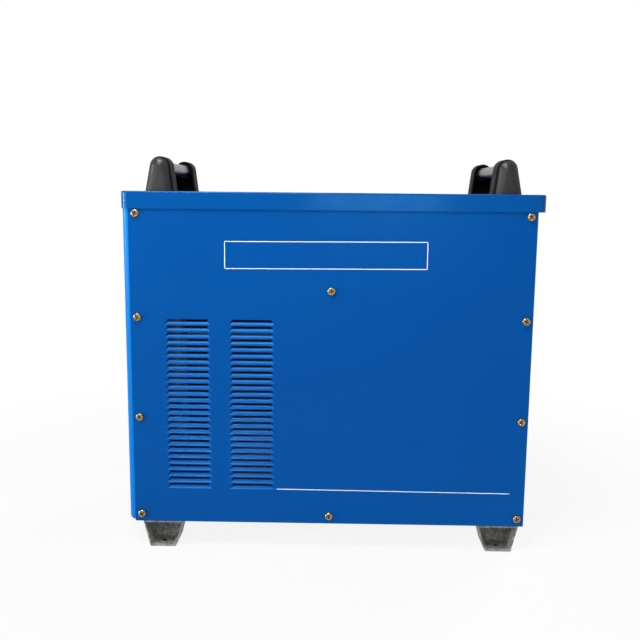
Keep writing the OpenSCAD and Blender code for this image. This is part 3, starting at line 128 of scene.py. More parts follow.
class NodeDesk:
    """Builds one material, with Object coordinates as the base of every pattern."""

    usual: ClassVar[Pair] = (0.3, 0.7)

    def __init__(self, name: str) -> None:
        """Starts an empty material.

        Args:
            name: The material's name.
        """
        self.material = bpy.data.materials.new(name)
        self.material.use_nodes = True
        self.tree = self.material.node_tree
        self.shader = self.tree.nodes["Principled BSDF"]
        self.coords = self.tree.nodes.new("ShaderNodeTexCoord").outputs["Object"]

    def set(self, **values: float | Triple) -> None:
        """Sets the shader's own sockets.

        Args:
            values: Socket names, with underscores for spaces, and their values.
        """
        for key, value in values.items():
            socket = self.shader.inputs[key.replace("_", " ")]
            socket.default_value = (*value, 1.0) if isinstance(value, tuple) else value

    def drive(self, socket: str, source: Socket) -> None:
        """Links a pattern to one of the shader's sockets."""
        self.tree.links.new(source, self.shader.inputs[socket])

    def add(self, kind: str, socket: str, source: Socket) -> bpy.types.Node:
        """Adds a node and links one of its inputs.

        Args:
            kind: The node's type.
            socket: The input's name.
            source: What the input gets.

        Returns:
            The node.
        """
        node = self.tree.nodes.new(kind)
        self.tree.links.new(source, node.inputs[socket])
        return node

    def noise(self, pattern: Noise) -> Socket:
        """Adds a noise pattern.

        Args:
            pattern: Its scale, octaves and stretch.

        Returns:
            The pattern's value, from 0 to 1.
        """
        mapping = self.add("ShaderNodeMapping", "Vector", self.coords)
        mapping.inputs["Scale"].default_value = pattern.stretch
        texture = self.add("ShaderNodeTexNoise", "Vector", mapping.outputs["Vector"])
        texture.inputs["Scale"].default_value = pattern.scale
        texture.inputs["Detail"].default_value = pattern.detail
        return texture.outputs["Fac"]

    def blend(self, pattern: Socket, places: Pair, colours: tuple[Triple, Triple]) -> None:
        """Blends the base colour along a pattern.

        Args:
            pattern: The pattern.
            places: Its values where the blend starts and ends.
            colours: The colour at each.
        """
        node = self.add("ShaderNodeValToRGB", "Fac", pattern)
        for stop, place, colour in zip(node.color_ramp.elements, places, colours):
            stop.position, stop.color = place, (*colour, 1.0)
        self.drive("Base Color", node.outputs["Color"])

    def roughen(self, pattern: Socket, roughness: float, drift: Pair) -> None:
        """Lets the roughness drift with a pattern, over the range that the pattern usually has.

        Args:
            pattern: The pattern.
            roughness: The finish's usual roughness.
            drift: How far it goes below and above that.
        """
        limits = (roughness - drift[0], roughness + drift[1])
        self.drive("Roughness", remap(self.tree, pattern, self.usual, limits))

    def bump(self, height: Socket, depth: float, under: Socket | None = None) -> Socket:
        """Adds relief and gives it to the shader.

        Args:
            height: The pattern that is the relief's height.
            depth: Height of the relief.
            under: Normal of a relief below this one.

        Returns:
            The normal.
        """
        node = self.add("ShaderNodeBump", "Height", height)
        node.inputs["Distance"].default_value = depth * MM
        if under is not None:
            self.tree.links.new(under, node.inputs["Normal"])
        self.drive("Normal", node.outputs["Normal"])
        return node.outputs["Normal"]


class Finish(Protocol):
    """Anything that can be mixed on a desk and has a name."""

    @property
    def name(self) -> str:
        """The material's name."""

    def paint(self, desk: NodeDesk) -> None:
        """Mixes the finish on an empty material."""


@lru_cache(maxsize=None)
def material_of(finish: Finish) -> bpy.types.Material:
    """Makes a finish's material once.

    Args:
        finish: The finish.

    Returns:
        Its material.
    """
    desk = NodeDesk(finish.name)
    finish.paint(desk)
    return desk.material


@dataclass(frozen=True)
class Coating:
    """A finish whose colour drifts with one noise and whose gloss drifts with another.

    The colour goes from the first tone to the second between two places of the mottle. With the haze
    the roughness drifts by so much below and above its value.
    """

    name: str
    colour: Triple
    roughness: float = 0.4
    specular: float = 0.5
    mottle: Noise = Noise(80.0)
    places: Pair = (0.3, 0.7)
    tones: Pair = (0.9, 1.0)
    haze: Noise = Noise(90.0)
    drift: Pair = (0.0, 0.1)

    def gloss(self, desk: NodeDesk) -> None:
        """Lets the roughness drift over the piece."""
        desk.roughen(desk.noise(self.haze), self.roughness, self.drift)

    def paint(self, desk: NodeDesk) -> None:
        """Mixes the colour and the gloss.

        Args:
            desk: The empty material.
        """
        desk.set(Specular_IOR_Level=self.specular)
        desk.blend(desk.noise(self.mottle), self.places, shades(self.colour, self.tones))
        self.gloss(desk)


@dataclass(frozen=True)
class Enamel(Coating):
    """Sprayed and baked enamel on sheet steel, with a faint orange peel."""

    roughness: float = 0.24
    specular: float = 0.2
    mottle: Noise = Noise(5.0, 2.0)
    tones: Pair = (0.97, 1.03)
    haze: Noise = Noise(60.0)
    drift: Pair = (0.02, 0.03)
    tint: Triple = (0.16, 0.55, 1.0)
    peel: Noise = Noise(420.0, 2.0)
    relief: float = 0.012

    def paint(self, desk: NodeDesk) -> None:
        """Mixes the enamel, tints its gloss and adds the peel.

        Args:
            desk: The empty material.
        """
        super().paint(desk)
        desk.set(Specular_Tint=self.tint)
        desk.bump(desk.noise(self.peel), self.relief)


@dataclass(frozen=True)
class Moulded(Coating):
    """Moulded plastic with a fine grain and a little dust."""

    roughness: float = 0.5
    specular: float = 0.4
    mottle: Noise = Noise(45.0, 5.0)
    places: Pair = (0.35, 0.7)
    tones: Pair = (0.85, 1.2)
    haze: Noise = Noise(140.0, 4.0)
    drift: Pair = (0.06, 0.08)
    pores: Noise = Noise(1400.0, 2.0)
    grain: float = 0.03

    def paint(self, desk: NodeDesk) -> None:
        """Mixes the plastic and adds its grain.

        Args:
            desk: The empty material.
        """
        super().paint(desk)
        desk.bump(desk.noise(self.pores), self.grain)


@dataclass(frozen=True)
class Rubbed(Moulded):
    """Moulded plastic that hands have rubbed smooth from the lower height to the upper one."""

    heights: Pair = (560.0, 575.0)
    rubbed: float = 0.35

    def gloss(self, desk: NodeDesk) -> None:
        """Lets the roughness fall with the height.

        Args:
            desk: The material under work.
        """
        split = desk.add("ShaderNodeSeparateXYZ", "Vector", desk.coords)
        low, high = self.heights
        fall = remap(desk.tree, split.outputs["Z"], (low * MM, high * MM), (self.roughness, self.rubbed))
        desk.drive("Roughness", fall)


@dataclass(frozen=True)
class Ink(Coating):
    """Printed white film or ink, flat and slightly worn."""

    specular: float = 0.3
    mottle: Noise = Noise(300.0, 5.0)
    places: Pair = (0.3, 0.6)


@dataclass(frozen=True)
class Glass(Coating):
    """Smoked window or tinted lens."""

    roughness: float = 0.08
    haze: Noise = Noise(500.0)
    drift: Pair = (0.0, 0.06)
    coat: float = 0.6
    coat_roughness: float = 0.05
    glow: float = 0.0

    def paint(self, desk: NodeDesk) -> None:
        """Mixes the glass, with its coat and its glow.

        Args:
            desk: The empty material.
        """
        super().paint(desk)
        desk.set(Coat_Weight=self.coat, Coat_Roughness=self.coat_roughness)
        desk.set(Emission_Color=self.colour, Emission_Strength=self.glow)


@dataclass(frozen=True)
class Cast:
    """Rough cast metal, mottled, with a sandy skin and so many small pits a metre."""

    name: str
    dark: Triple
    light: Triple
    metallic: float = 0.25
    specular: float = 0.35
    roughness: float = 0.5
    drift: Pair = (0.0, 0.3)
    mottle: Noise = Noise(170.0, 6.0)
    places: Pair = (0.36, 0.66)
    haze: Noise = Noise(220.0, 4.0)
    sand: Noise = Noise(260.0, 4.0)
    sand_depth: float = 0.35
    pits: float = 600.0
    pit_depth: float = 0.08

    def paint(self, desk: NodeDesk) -> None:
        """Mixes the casting.

        Args:
            desk: The empty material.
        """
        desk.set(Metallic=self.metallic, Specular_IOR_Level=self.specular)
        desk.blend(desk.noise(self.mottle), self.places, (self.dark, self.light))
        desk.roughen(desk.noise(self.haze), self.roughness, self.drift)
        coarse = desk.bump(desk.noise(self.sand), self.sand_depth)
        cells = desk.add("ShaderNodeTexVoronoi", "Vector", desk.coords)
        cells.inputs["Scale"].default_value = self.pits
        desk.bump(cells.outputs["Distance"], self.pit_depth, coarse)


@dataclass(frozen=True)
class Metal:
    """Plated, drawn or machined metal, with tone drifting over the surface."""

    name: str
    colour: Triple
    stain: Triple
    roughness: float = 0.3
    scale: float = 200.0
    detail: float = 4.0
    stretch: Triple = EVEN
    places: Pair = (0.35, 0.62)
    drift: Pair = (0.06, 0.08)
    relief: float = 0.01

    def paint(self, desk: NodeDesk) -> None:
        """Mixes the metal, whose stains, gloss and relief share one pattern.

        Args:
            desk: The empty material.
        """
        desk.set(Metallic=1.0)
        stains = desk.noise(Noise(self.scale, self.detail, self.stretch))
        desk.blend(stains, self.places, (self.stain, self.colour))
        desk.roughen(stains, self.roughness, self.drift)
        desk.bump(stains, self.relief)


@dataclass(frozen=True)
class Wound:
    """Enamelled wire, laid turn on turn up the winding."""

    name: str
    colour: Triple
    turns: float = 700.0
    metallic: float = 0.6
    roughness: float = 0.35
    places: Pair = (0.1, 0.7)
    tones: Pair = (0.4, 1.0)
    relief: float = 0.3

    def paint(self, desk: NodeDesk) -> None:
        """Mixes the winding.

        Args:
            desk: The empty material.
        """
        desk.set(Metallic=self.metallic, Roughness=self.roughness)
        wave = desk.add("ShaderNodeTexWave", "Vector", desk.coords)
        wave.bands_direction = "Z"
        wave.inputs["Scale"].default_value = self.turns / (2 * math.pi)
        desk.blend(wave.outputs["Fac"], self.places, shades(self.colour, self.tones))
        desk.bump(wave.outputs["Fac"], self.relief)


BLUE = Enamel("case_enamel", (0.0, 0.053, 0.238), specular=0.3)
LID_BLUE = Enamel("lid_enamel", (0.0, 0.056, 0.235), specular=0.3, roughness=0.14)
# Paler than the case enamel: partly the bezel's lighter paint, partly painted light on its front edge,
# which faces the lamps on the left.
BEZEL_BLUE_LIT = Enamel("bezel_enamel_painted_light", (0.0, 0.14, 0.47), specular=0.3)
# Black enamel of the front panel, and painted shade on the mid shelf behind the louvres.
BLACK_ENAMEL_AND_SHADE = Enamel("black_enamel_and_painted_shade", (0.009, 0.01, 0.012), specular=0.25, roughness=0.42, tint=WHITE)
POST_PLASTIC = Rubbed("post_plastic", (0.009, 0.0092, 0.0095), grain=0.01, specular=0.34)
POST_BODY = Moulded("post_body", (0.02, 0.0175, 0.016), roughness=0.75, specular=0.12)
# Near black that paints shade: in the groove behind each post's cap, in the posts' hollows and in the
# feet's floor holes.
SHADE_BLACK = Moulded("painted_shade_black", (0.002, 0.002, 0.002), roughness=0.8, specular=0.08)
DARK_PLASTIC = Moulded("dark_plastic", (0.014, 0.0145, 0.016))
GREY_PLASTIC = Moulded("grey_plastic", (0.05, 0.052, 0.057), roughness=0.55)
GLOSS_BLACK = Moulded("gloss_black", (0.01, 0.01, 0.012), roughness=0.22, grain=0.004)
LIGHT_PLASTIC = Moulded("light_plastic", (0.62, 0.62, 0.58), roughness=0.4)
MAROON = Moulded("maroon_plastic", (0.2, 0.02, 0.012), roughness=0.35, grain=0.01)
POT_BLUE = Moulded("pot_blue", (0.03, 0.1, 0.26), roughness=0.35, grain=0.01)
BOARD = Moulded("board_green", (0.008, 0.085, 0.03), roughness=0.3, grain=0.02)
# Navy black on the tunnel boards paints the shade seen through the louvre slots.
INSULATOR_SHADE = Moulded("insulator_painted_shade", (0.009, 0.01, 0.016), roughness=0.6)
HOSE = Moulded("hose_blue", (0.02, 0.09, 0.24), roughness=0.45, grain=0.01)
CASTING = Cast("foot_casting", (0.105, 0.11, 0.098), (0.27, 0.28, 0.255))
# Darker casting that paints the shade under the tray on the feet's upright rims.
FOOT_RIM_SHADE = Cast("foot_rim_painted_shade", (0.03, 0.03, 0.026), (0.09, 0.088, 0.078))
CORE = Cast("core_steel", (0.03, 0.031, 0.034), (0.075, 0.078, 0.085))
TUBE = Metal("grip_tube", (0.19, 0.185, 0.19), (0.12, 0.12, 0.135), roughness=0.34, stretch=ALONG_Y)
YELLOW_ZINC = Metal("yellow_zinc", (0.45, 0.33, 0.18), (0.2, 0.12, 0.045), roughness=0.24, scale=420.0)
# Dark metal that paints the shade in the screws' cross recesses.
RECESS_SHADE = Metal("screw_recess_painted_shade", (0.1, 0.06, 0.025), (0.04, 0.025, 0.012), roughness=0.5, scale=420.0)
BRASS = Metal("brass", (0.78, 0.56, 0.22), (0.6, 0.4, 0.14), roughness=0.28, scale=300.0)
ZINC = Metal("zinc_sheet", (0.62, 0.64, 0.66), (0.48, 0.5, 0.53), roughness=0.38, scale=70.0)
ALUMINIUM = Metal(
    "extruded_aluminium", (0.7, 0.71, 0.73), (0.6, 0.61, 0.64), roughness=0.35, stretch=ALONG_X)
WHITE_INK = Ink("white_ink", (0.7, 0.76, 0.84))
WINDOW = Glass("display_window", (0.02, 0.003, 0.004))
SEGMENT = Glass("display_segment", (0.2, 0.012, 0.01), glow=0.3)
LAMP_LENS = Glass("lamp_lens", (0.45, 0.04, 0.015))
COPPER = Wound("copper_winding", (0.24, 0.08, 0.03))


# -------- modelling


def add_object(name: str, data: bpy.types.ID) -> Object:
    """Puts an object into the scene.

    Args:
        name: Its name.
        data: Its mesh, light or camera.

    Returns:
        The object.
    """
    obj = bpy.data.objects.new(name, data)
    bpy.context.scene.collection.objects.link(obj)
    return obj


class Bench:
    """Modelling steps by hand, each of which starts from an empty selection."""

    slots: ClassVar[dict[str, str]] = {s["node"]: s["material_slot"] for s in frame["record"]["subparts"]}
    merge_gap: ClassVar[float] = 0.005
    flat_angle: ClassVar[float] = 0.4
    face_weight: ClassVar[int] = 100

    @staticmethod
    def hold(*objects: Object) -> None:
        """Selects only these objects and makes the first one active.

        Args:
            objects: The objects.
        """
        if bpy.context.object and bpy.context.object.mode != "OBJECT":
            bpy.ops.object.mode_set(mode="OBJECT")
        bpy.ops.object.select_all(action="DESELECT")
        for obj in objects:
            obj.select_set(True)
        bpy.context.view_layer.objects.active = objects[0]

    @staticmethod
    def settle(obj: Object) -> None:
        """Puts an object's place, turn and size into its mesh."""
        Bench.hold(obj)
        bpy.ops.object.transform_apply(location=True, rotation=True, scale=True)

    @staticmethod
    def bevel(obj: Object, test: Callable[[Vector, Vector], bool], width: float, steps: int) -> None:
        """Bevels chosen edges.

        Args:
            obj: The object.
            test: Says whether an edge between two points is bevelled.
            width: Width of the bevel.
            steps: Steps round it.
        """
        Bench.hold(obj)
        bpy.ops.object.mode_set(mode="EDIT")
        bpy.ops.mesh.select_mode(type="EDGE")
        bpy.ops.mesh.select_all(action="DESELECT")
        bpy.ops.object.mode_set(mode="OBJECT")
        points = obj.data.vertices
        for edge in obj.data.edges:
            edge.select = test(*(points[i].co for i in edge.vertices))
        bpy.ops.object.mode_set(mode="EDIT")
        bpy.ops.mesh.bevel(offset=width * MM, segments=steps, affect="EDGES")
        bpy.ops.object.mode_set(mode="OBJECT")

    @staticmethod
    def copy_node(node: str, name: str, flatten: bool = True) -> Object:
        """Copies a CAD node's mesh and merges its loose triangles.

        Args:
            node: The CAD node.
            name: The new piece's name.
            flatten: Whether triangles in one plane become one face.

        Returns:
            The new piece.
        """
        piece = add_object(name, frame["nodes"][node].data.copy())
        piece.data.name = name
        Bench.hold(piece)
        bpy.ops.object.mode_set(mode="EDIT")
        bpy.ops.mesh.select_mode(type="EDGE")
        bpy.ops.mesh.select_all(action="SELECT")
        bpy.ops.mesh.customdata_custom_splitnormals_clear()
        bpy.ops.mesh.remove_doubles(threshold=Bench.merge_gap * MM)
        if flatten:
            bpy.ops.mesh.dissolve_limited(angle_limit=math.radians(Bench.flat_angle))
        bpy.ops.object.mode_set(mode="OBJECT")
        return piece

    @staticmethod
    def soften(obj: Object, width: float, segments: int = 2, angle: float = 40.0) -> None:
        """Bevels the sharp edges and applies the modifier.

        Args:
            obj: The object.
            width: Width of the bevel.
            segments: Steps round the bevel.
            angle: Smallest angle of an edge that counts as sharp.
        """
        Bench.hold(obj)
        modifier = obj.modifiers.new("soft_edges", "BEVEL")
        modifier.width, modifier.segments = width * MM, segments
        modifier.limit_method, modifier.angle_limit = "ANGLE", math.radians(angle)
        modifier.miter_outer = "MITER_ARC"
        bpy.ops.object.modifier_apply(modifier=modifier.name)

    @staticmethod
    def done(
        obj: Object, finish: Finish, body: Body = Body.CABINET, *nodes: str, smooth: float = 32.0
    ) -> Object:
        """Finishes a piece: shading, material, body and the CAD nodes that it stands for.

        Args:
            obj: The piece.
            finish: Its finish.
            body: The body that it rides on.
            nodes: CAD nodes that it replaces.
            smooth: Largest angle between faces that are shaded as one.

        Returns:
            The piece.
        """
        Bench.settle(obj)
        bpy.ops.object.shade_smooth_by_angle(angle=math.radians(smooth))
        flat = obj.modifiers.new("flat_faces", "WEIGHTED_NORMAL")
        flat.weight, flat.keep_sharp = Bench.face_weight, True
        bpy.ops.object.modifier_apply(modifier=flat.name)
        obj.data.materials.clear()
        obj.data.materials.append(material_of(finish))
        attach(obj, body.value)
        if nodes:
            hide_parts(*nodes)
        log.info("piece %s on %s", obj.name, body.value)
        return obj

    @staticmethod
    def dress(node: str, finish: Finish, edge: float = 0.3, body: Body = Body.CABINET) -> Object:
        """Replaces a CAD node by its own shape with softened edges.

        Args:
            node: The CAD node.
            finish: The finish.
            edge: Width of the bevel; 0 keeps the edges sharp.
            body: The body that it rides on.

        Returns:
            The new piece.
        """
        piece = Bench.copy_node(node, node + "_dressed")
        if edge:
            Bench.soften(piece, edge)
        return Bench.done(piece, finish, body, node)

    @staticmethod
    def islands(node: str) -> list[tuple[Vector, Vector]]:
        """Finds the separate solids of a CAD node.

        Args:
            node: The CAD node.

        Returns:
            Lowest and highest corner of each solid.
        """
        Bench.copy_node(node, "islands")
        bpy.ops.object.mode_set(mode="EDIT")
        bpy.ops.mesh.separate(type="LOOSE")
        bpy.ops.object.mode_set(mode="OBJECT")
        boxes = []
        for part in list(bpy.context.selected_objects):
            points = [v.co for v in part.data.vertices]
            boxes.append((Vector(map(min, *points)), Vector(map(max, *points))))
            bpy.data.objects.remove(part)
        return sorted(boxes, key=lambda box: tuple(box[0]))

    @staticmethod
    def join(name: str, objects: list[Object]) -> Object:
        """Joins objects into one piece.

        Args:
            name: The piece's name.
            objects: What it is made of.

        Returns:
            The piece.
        """
        Bench.hold(*objects)
        bpy.ops.object.join()
        objects[0].name = name
        return objects[0]


def near(value: float, target: float, reach: float = 0.05) -> bool:
    """Says whether two lengths in metres lie within a reach in millimetres."""
    return abs(value - target) < reach * MM


@dataclass(frozen=True)
class Face:
    """A flat face of the object that small marks are laid on, by an origin and two directions."""

    origin: Vector
    across: Vector
    up: Vector

    @classmethod
    def forward(cls, x: float, middle: Vector) -> "Face":
        """Makes a face that looks to the front, at an X in metres and round a middle point."""
        return cls(Vector((x, middle.y, middle.z)), Vector((0, -1, 0)), Vector((0, 0, 1)))

    def frame(self, u: float, v: float, turn: float = 0.0) -> Matrix:
        """Finds the place of a mark, whose own X runs along the face and Z points out of it.

        Args:
            u: Place across the face.
            v: Place up the face.
            turn: Angle of the mark, in radians.

        Returns:
            The place as a matrix.
        """
        out = self.across.cross(self.up)
        axes = Matrix((self.across, self.up, out)).transposed().to_4x4()
        spot = self.origin + (self.across * u + self.up * v) * MM
        return Matrix.Translation(spot) @ axes @ Matrix.Rotation(turn, 4, "Z")

    def bar(
        self, a: Pair, b: Pair, width: float, height: float, tip: float = 0.4, steps: int = 2
    ) -> Object:
        """Lays a thin bar from one point of the face to another.

        Args:
            a: Start.
            b: End.
            width: Width of the bar, of which half passes each end.
            height: Thickness of the bar, of which half stands out of the face.
            tip: How much is taken off its corners, as a share of its width.
            steps: Steps round each corner.

        Returns:
            The bar.
        """
        run = Vector(b) - Vector(a)
        bpy.ops.mesh.primitive_cube_add(size=1)
        bar = bpy.context.object
        bar.scale = ((run.length + width) * MM, width * MM, height * MM)
        Bench.settle(bar)
        Bench.bevel(bar, lambda p, q: not near(p.z, q.z, height / 2), tip * width, steps)
        middle = (Vector(a) + Vector(b)) / 2
        bar.data.transform(self.frame(middle.x, middle.y, math.atan2(run.y, run.x)))
        return bar


# -------- sub-assemblies


@dataclass
class Case:
    """Sheet-metal case: side panels with louvres, bezel, lid, tray and end panels.

    The lid's corners go from the solid's radius to the second one, and its top edge is a wide fold.
    """

    fold: float = 2.2
    fold_steps: int = 4
    lid_corner: Pair = (7.0, 10.5)
    corner_slack: float = 0.02
    cut_angle: float = 60.0
    sheet_edge: float = 0.35
    bezel_edge: float = 0.5
    flap_angle: float = 24.0

    def side_panel(self, node: str) -> None:
        """Dresses a side panel, whose pressed flaps are shaded round."""
        piece = Bench.copy_node(node, node + "_dressed", flatten=False)
        Bench.done(piece, BLUE, Body.CABINET, node, smooth=self.flap_angle)

    def ease_corners(self, lid: Object, half: Vector) -> None:
        """Draws the lid's four upright corners out to a larger radius.

        Args:
            lid: The lid.
            half: Half its length and width, in metres.
        """
        was, now = (radius * MM for radius in self.lid_corner)
        for vertex in lid.data.vertices:
            side = Vector(math.copysign(1.0, c) for c in vertex.co.xy)
            arm = Vector(abs(c) - h + was for c, h in zip(vertex.co.xy, half))
            if min(arm) > -self.corner_slack * MM and arm.length > was / 2:
                arm *= (arm.length + now - was) / arm.length
                vertex.co.xy = [s * (h - now + a) for s, h, a in zip(side, half, arm)]

    def lid(self) -> None:
        """Dresses the lid, with a folded top edge that is rounder than the cut edge below."""
        low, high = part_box("top_cover")
        lid = Bench.copy_node("top_cover", "top_cover_dressed")
        self.ease_corners(lid, high.xy)
        reach = (self.lid_corner[1] + 1) * MM

        def on_rim(point: Vector) -> bool:
            """Says whether a point lies round the edge of the lid's top."""
            inset = min(*(point.xy - low.xy), *(high.xy - point.xy))
            return near(point.z, high.z) and inset < reach

        Bench.bevel(lid, lambda a, b: on_rim(a) and on_rim(b), self.fold, self.fold_steps)
        Bench.soften(lid, self.sheet_edge, angle=self.cut_angle)
        Bench.done(lid, LID_BLUE, Body.CABINET, "top_cover")

    def build(self) -> None:
        """Builds the case."""
        self.side_panel("side_panel_right")
        self.side_panel("side_panel_left")
        self.lid()
        Bench.dress("front_bezel", BEZEL_BLUE_LIT, self.bezel_edge)
        Bench.dress("base_tray", BLUE, self.sheet_edge)
        Bench.dress("front_panel", BLACK_ENAMEL_AND_SHADE, self.sheet_edge)
        Bench.dress("rear_panel", BLUE, self.sheet_edge)
        Bench.dress("rear_frame", BLUE, self.sheet_edge)


@dataclass
class Screws:
    """Pan-head screws with a cross recess, all over the side panels.

    The recess gets painted shade from so far below the front of the head as the lip says.
    """

    head_r: float = 5.8
    head_h: float = 4.2
    sides: int = 40
    dome: float = 1.7
    dome_steps: int = 6
    edge: float = 0.12
    edge_angle: float = 50.0
    cross_l: float = 7.0
    cross_w: float = 1.7
    cross_depth: float = 2.2
    lip: float = 0.2
    seed: int = 7

    def head(self) -> Object:
        """Makes one head that stands along -Y from the origin.

        Returns:
            The head.
        """
        bpy.ops.mesh.primitive_cylinder_add(
            vertices=self.sides, radius=self.head_r * MM, depth=self.head_h * MM,
            location=(0, -self.head_h / 2 * MM, 0), rotation=(math.pi / 2, 0, 0))
        head = bpy.context.object
        Bench.settle(head)
        front = -self.head_h * MM
        Bench.bevel(head, lambda a, b: near(a.y, front) and near(b.y, front), self.dome, self.dome_steps)
        for turn in (0, math.pi / 2):
            bpy.ops.mesh.primitive_cube_add(size=1, location=(0, front, 0), rotation=(0, turn, 0))
            arm = bpy.context.object
            arm.scale = (self.cross_l * MM, 2 * self.cross_depth * MM, self.cross_w * MM)
            Bench.settle(arm)
            self.carve(head, arm)
        return head

    @staticmethod
    def carve(head: Object, arm: Object) -> None:
        """Cuts one arm of the cross and removes the cutter.

        Args:
            head: The head.
            arm: The cutter.
        """
        Bench.hold(head)
        cut = head.modifiers.new("cross", "BOOLEAN")
        cut.object, cut.operation = arm, "DIFFERENCE"
        bpy.ops.object.modifier_apply(modifier=cut.name)
        bpy.data.objects.remove(arm)

    def darken(self, heads: Object, faces: Pair, spots: list[Vector]) -> None:
        """Paints shade on the walls and floors of the recesses, as a darker finish.

        Args:
            heads: All heads in one.
            faces: Y of the right-hand and the left-hand panel's face, in metres.
            spots: Middle of each screw.
        """
        heads.data.materials.append(material_of(RECESS_SHADE))
        for polygon in heads.data.polygons:
            c = polygon.center
            spot = min(spots, key=lambda p: (p.x - c.x) ** 2 + (p.z - c.z) ** 2)
            height = faces[0] - c.y if c.y < 0 else c.y - faces[1]
            sunk = height < (self.head_h - self.lip) * MM
            if sunk and math.hypot(c.x - spot.x, c.z - spot.z) < (self.head_r - self.dome) * MM:
                polygon.material_index = 1

    def build(self) -> None:
        """Builds all heads, each turned its own way."""
        rng = random.Random(self.seed)
        pattern = self.head()
        faces = (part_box("side_panel_right")[0].y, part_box("side_panel_left")[1].y)
        heads, spots = [], []
        for low, high in Bench.islands("side_panel_screws"):
            middle, right = (low + high) / 2, low.y < 0
            spots.append(middle)
            turn = Matrix.Rotation(rng.uniform(0, math.pi), 4, "Y")
            side = Matrix.Rotation(0 if right else math.pi, 4, "Z")
            place = Matrix.Translation((middle.x, faces[0] if right else faces[1], middle.z))
            head = add_object(pattern.name, pattern.data.copy())
            head.data.transform(place @ side @ turn)
            heads.append(head)
        bpy.data.objects.remove(pattern)
        piece = Bench.join("side_panel_screw_heads", heads)
        Bench.soften(piece, self.edge, 1, self.edge_angle)
        Bench.done(piece, YELLOW_ZINC, Body.CABINET, "side_panel_screws")
        self.darken(piece, faces, spots)


@dataclass
class Handles:
    """Grip tubes between moulded posts, whose cap and body have their own finishes, with painted shade
    between them.

    The painted shade of the groove starts and ends so far behind the cap's front, and a face whose normal
    points inward by more than the limit gets the same painted shade, for the post's hollow.
    """

    edge: float = 0.4
    shade_band: Pair = (6.5, 14.9)
    inward: float = -0.5

    def part(self, post: Object) -> None:
        """Paints shade on the groove behind a post's cap and on the post's inner face, and gives its body
        its finish.

        Args:
            post: The dressed post, which has the cap's finish all over.
        """
        for finish in (SHADE_BLACK, POST_BODY):
            post.data.materials.append(material_of(finish))
        side = math.copysign(1.0, post.data.vertices[0].co.y)
        outer = max(v.co.y * side for v in post.data.vertices)
        for polygon in post.data.polygons:
            depth = (outer - polygon.center.y * side) / MM
            # Painted shade: the groove band behind the cap and every face turned into the post's hollow.
            if self.shade_band[0] < depth < self.shade_band[1] or polygon.normal.y * side < self.inward:
                polygon.material_index = 1
            elif depth > self.shade_band[1]:
                polygon.material_index = 2

    def build(self) -> None:
        """Builds posts and tubes."""
        for end in ("front", "rear"):
            for side in ("right", "left"):
                self.part(Bench.dress(f"handle_post_{end}_{side}", POST_PLASTIC, self.edge))
            Bench.dress(f"handle_tube_{end}", TUBE, 0.0)


@dataclass
class Feet:
    """Cast feet with drafted pockets, whose floor holes hold black discs of painted shade.

    The rim is the strip under the tray, and each disc's top lies a set depth down in its hole.
    """

    edge: float = 0.8
    rim: float = 4.5
    upright: float = 0.5
    shade_disc_h: float = 1.2
    shade_disc_low: float = 0.9
    shade_disc_edge: float = 0.3
    shade_disc_sides: int = 32
    clearance: float = 0.15
    slack: float = 0.01

    def shade_rim(self, foot: Object) -> None:
        """Paints shade on the foot's upright rim under the tray, as a darker casting finish.

        Args:
            foot: The dressed foot.
        """
        foot.data.materials.append(material_of(FOOT_RIM_SHADE))
        top = max(v.co.z for v in foot.data.vertices)
        for polygon in foot.data.polygons:
            if polygon.center.z > top - self.rim * MM and abs(polygon.normal.y) > self.upright:
                polygon.material_index = 1

    def shade_disc(self, node: str) -> Object:
        """Makes the black disc of painted shade in the hole of a foot's floor, by the hole's rim on the
        ground.

        Args:
            node: The foot's CAD node.

        Returns:
            The disc.
        """
        low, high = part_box(node)
        points = [v.co for v in frame["nodes"][node].data.vertices]
        rim = [p for p in points if near(p.z, low.z) and low.y + MM < p.y < high.y - MM]
        middle = sum(rim, Vector()) / len(rim)
        radius = max((p - middle).length for p in rim)
        top = max(p.z for p in points if (p.xy - middle.xy).length < radius + self.slack * MM)
        bpy.ops.mesh.primitive_cylinder_add(
            vertices=self.shade_disc_sides, radius=radius - self.clearance * MM, depth=self.shade_disc_h * MM,
            location=(middle.x, middle.y, top - (self.shade_disc_low + self.shade_disc_h / 2) * MM))
        shade_disc = bpy.context.object
        Bench.settle(shade_disc)
        Bench.soften(shade_disc, self.shade_disc_edge)
        return shade_disc

    def build(self) -> None:
        """Builds the feet."""
        nodes = [f"foot_{end}_{side}" for end in ("front", "rear") for side in ("right", "left")]
        for node in nodes:
            self.shade_rim(Bench.dress(node, CASTING, self.edge))
        # Black discs in the floor holes paint the shade under the feet.
        Bench.done(Bench.join("foot_hole_shade_discs", [self.shade_disc(node) for node in nodes]), SHADE_BLACK)


@dataclass
class Markings:
    """White outline frame and rule on the right-hand side panel, by the X and Z of their ends.

    The frame's rear end is higher by the rise. Both are painted lines of one width and thickness.
    """

    frame_x: Pair = (-155.9, 137.9)
    frame_z: Pair = (429.7, 468.9)
    rise: float = 1.8
    rule: tuple[Pair, Pair] = ((-79.2, 95.7), (271.3, 93.5))
    line: float = 1.05
    film: float = 0.12

    def build(self) -> None:
        """Builds the frame, which rises a little towards the rear, and the rule."""
        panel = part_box("side_panel_right")[0].y
        face = Face(Vector((0, panel, 0)), Vector((1, 0, 0)), Vector((0, 0, 1)))
        (x0, x1), (z0, z1) = self.frame_x, self.frame_z
        corners = [(x0, z0), (x1, z0 + self.rise), (x1, z1 + self.rise), (x0, z1)]
        ends = zip(corners, corners[1:] + corners[:1])
        bars = [face.bar(a, b, self.line, self.film) for a, b in ends]
        Bench.done(Bench.join("outline_frame", bars), WHITE_INK)
        rule = Bench.join("underline_rule", [face.bar(*self.rule, self.line, self.film)])
        Bench.done(rule, WHITE_INK)


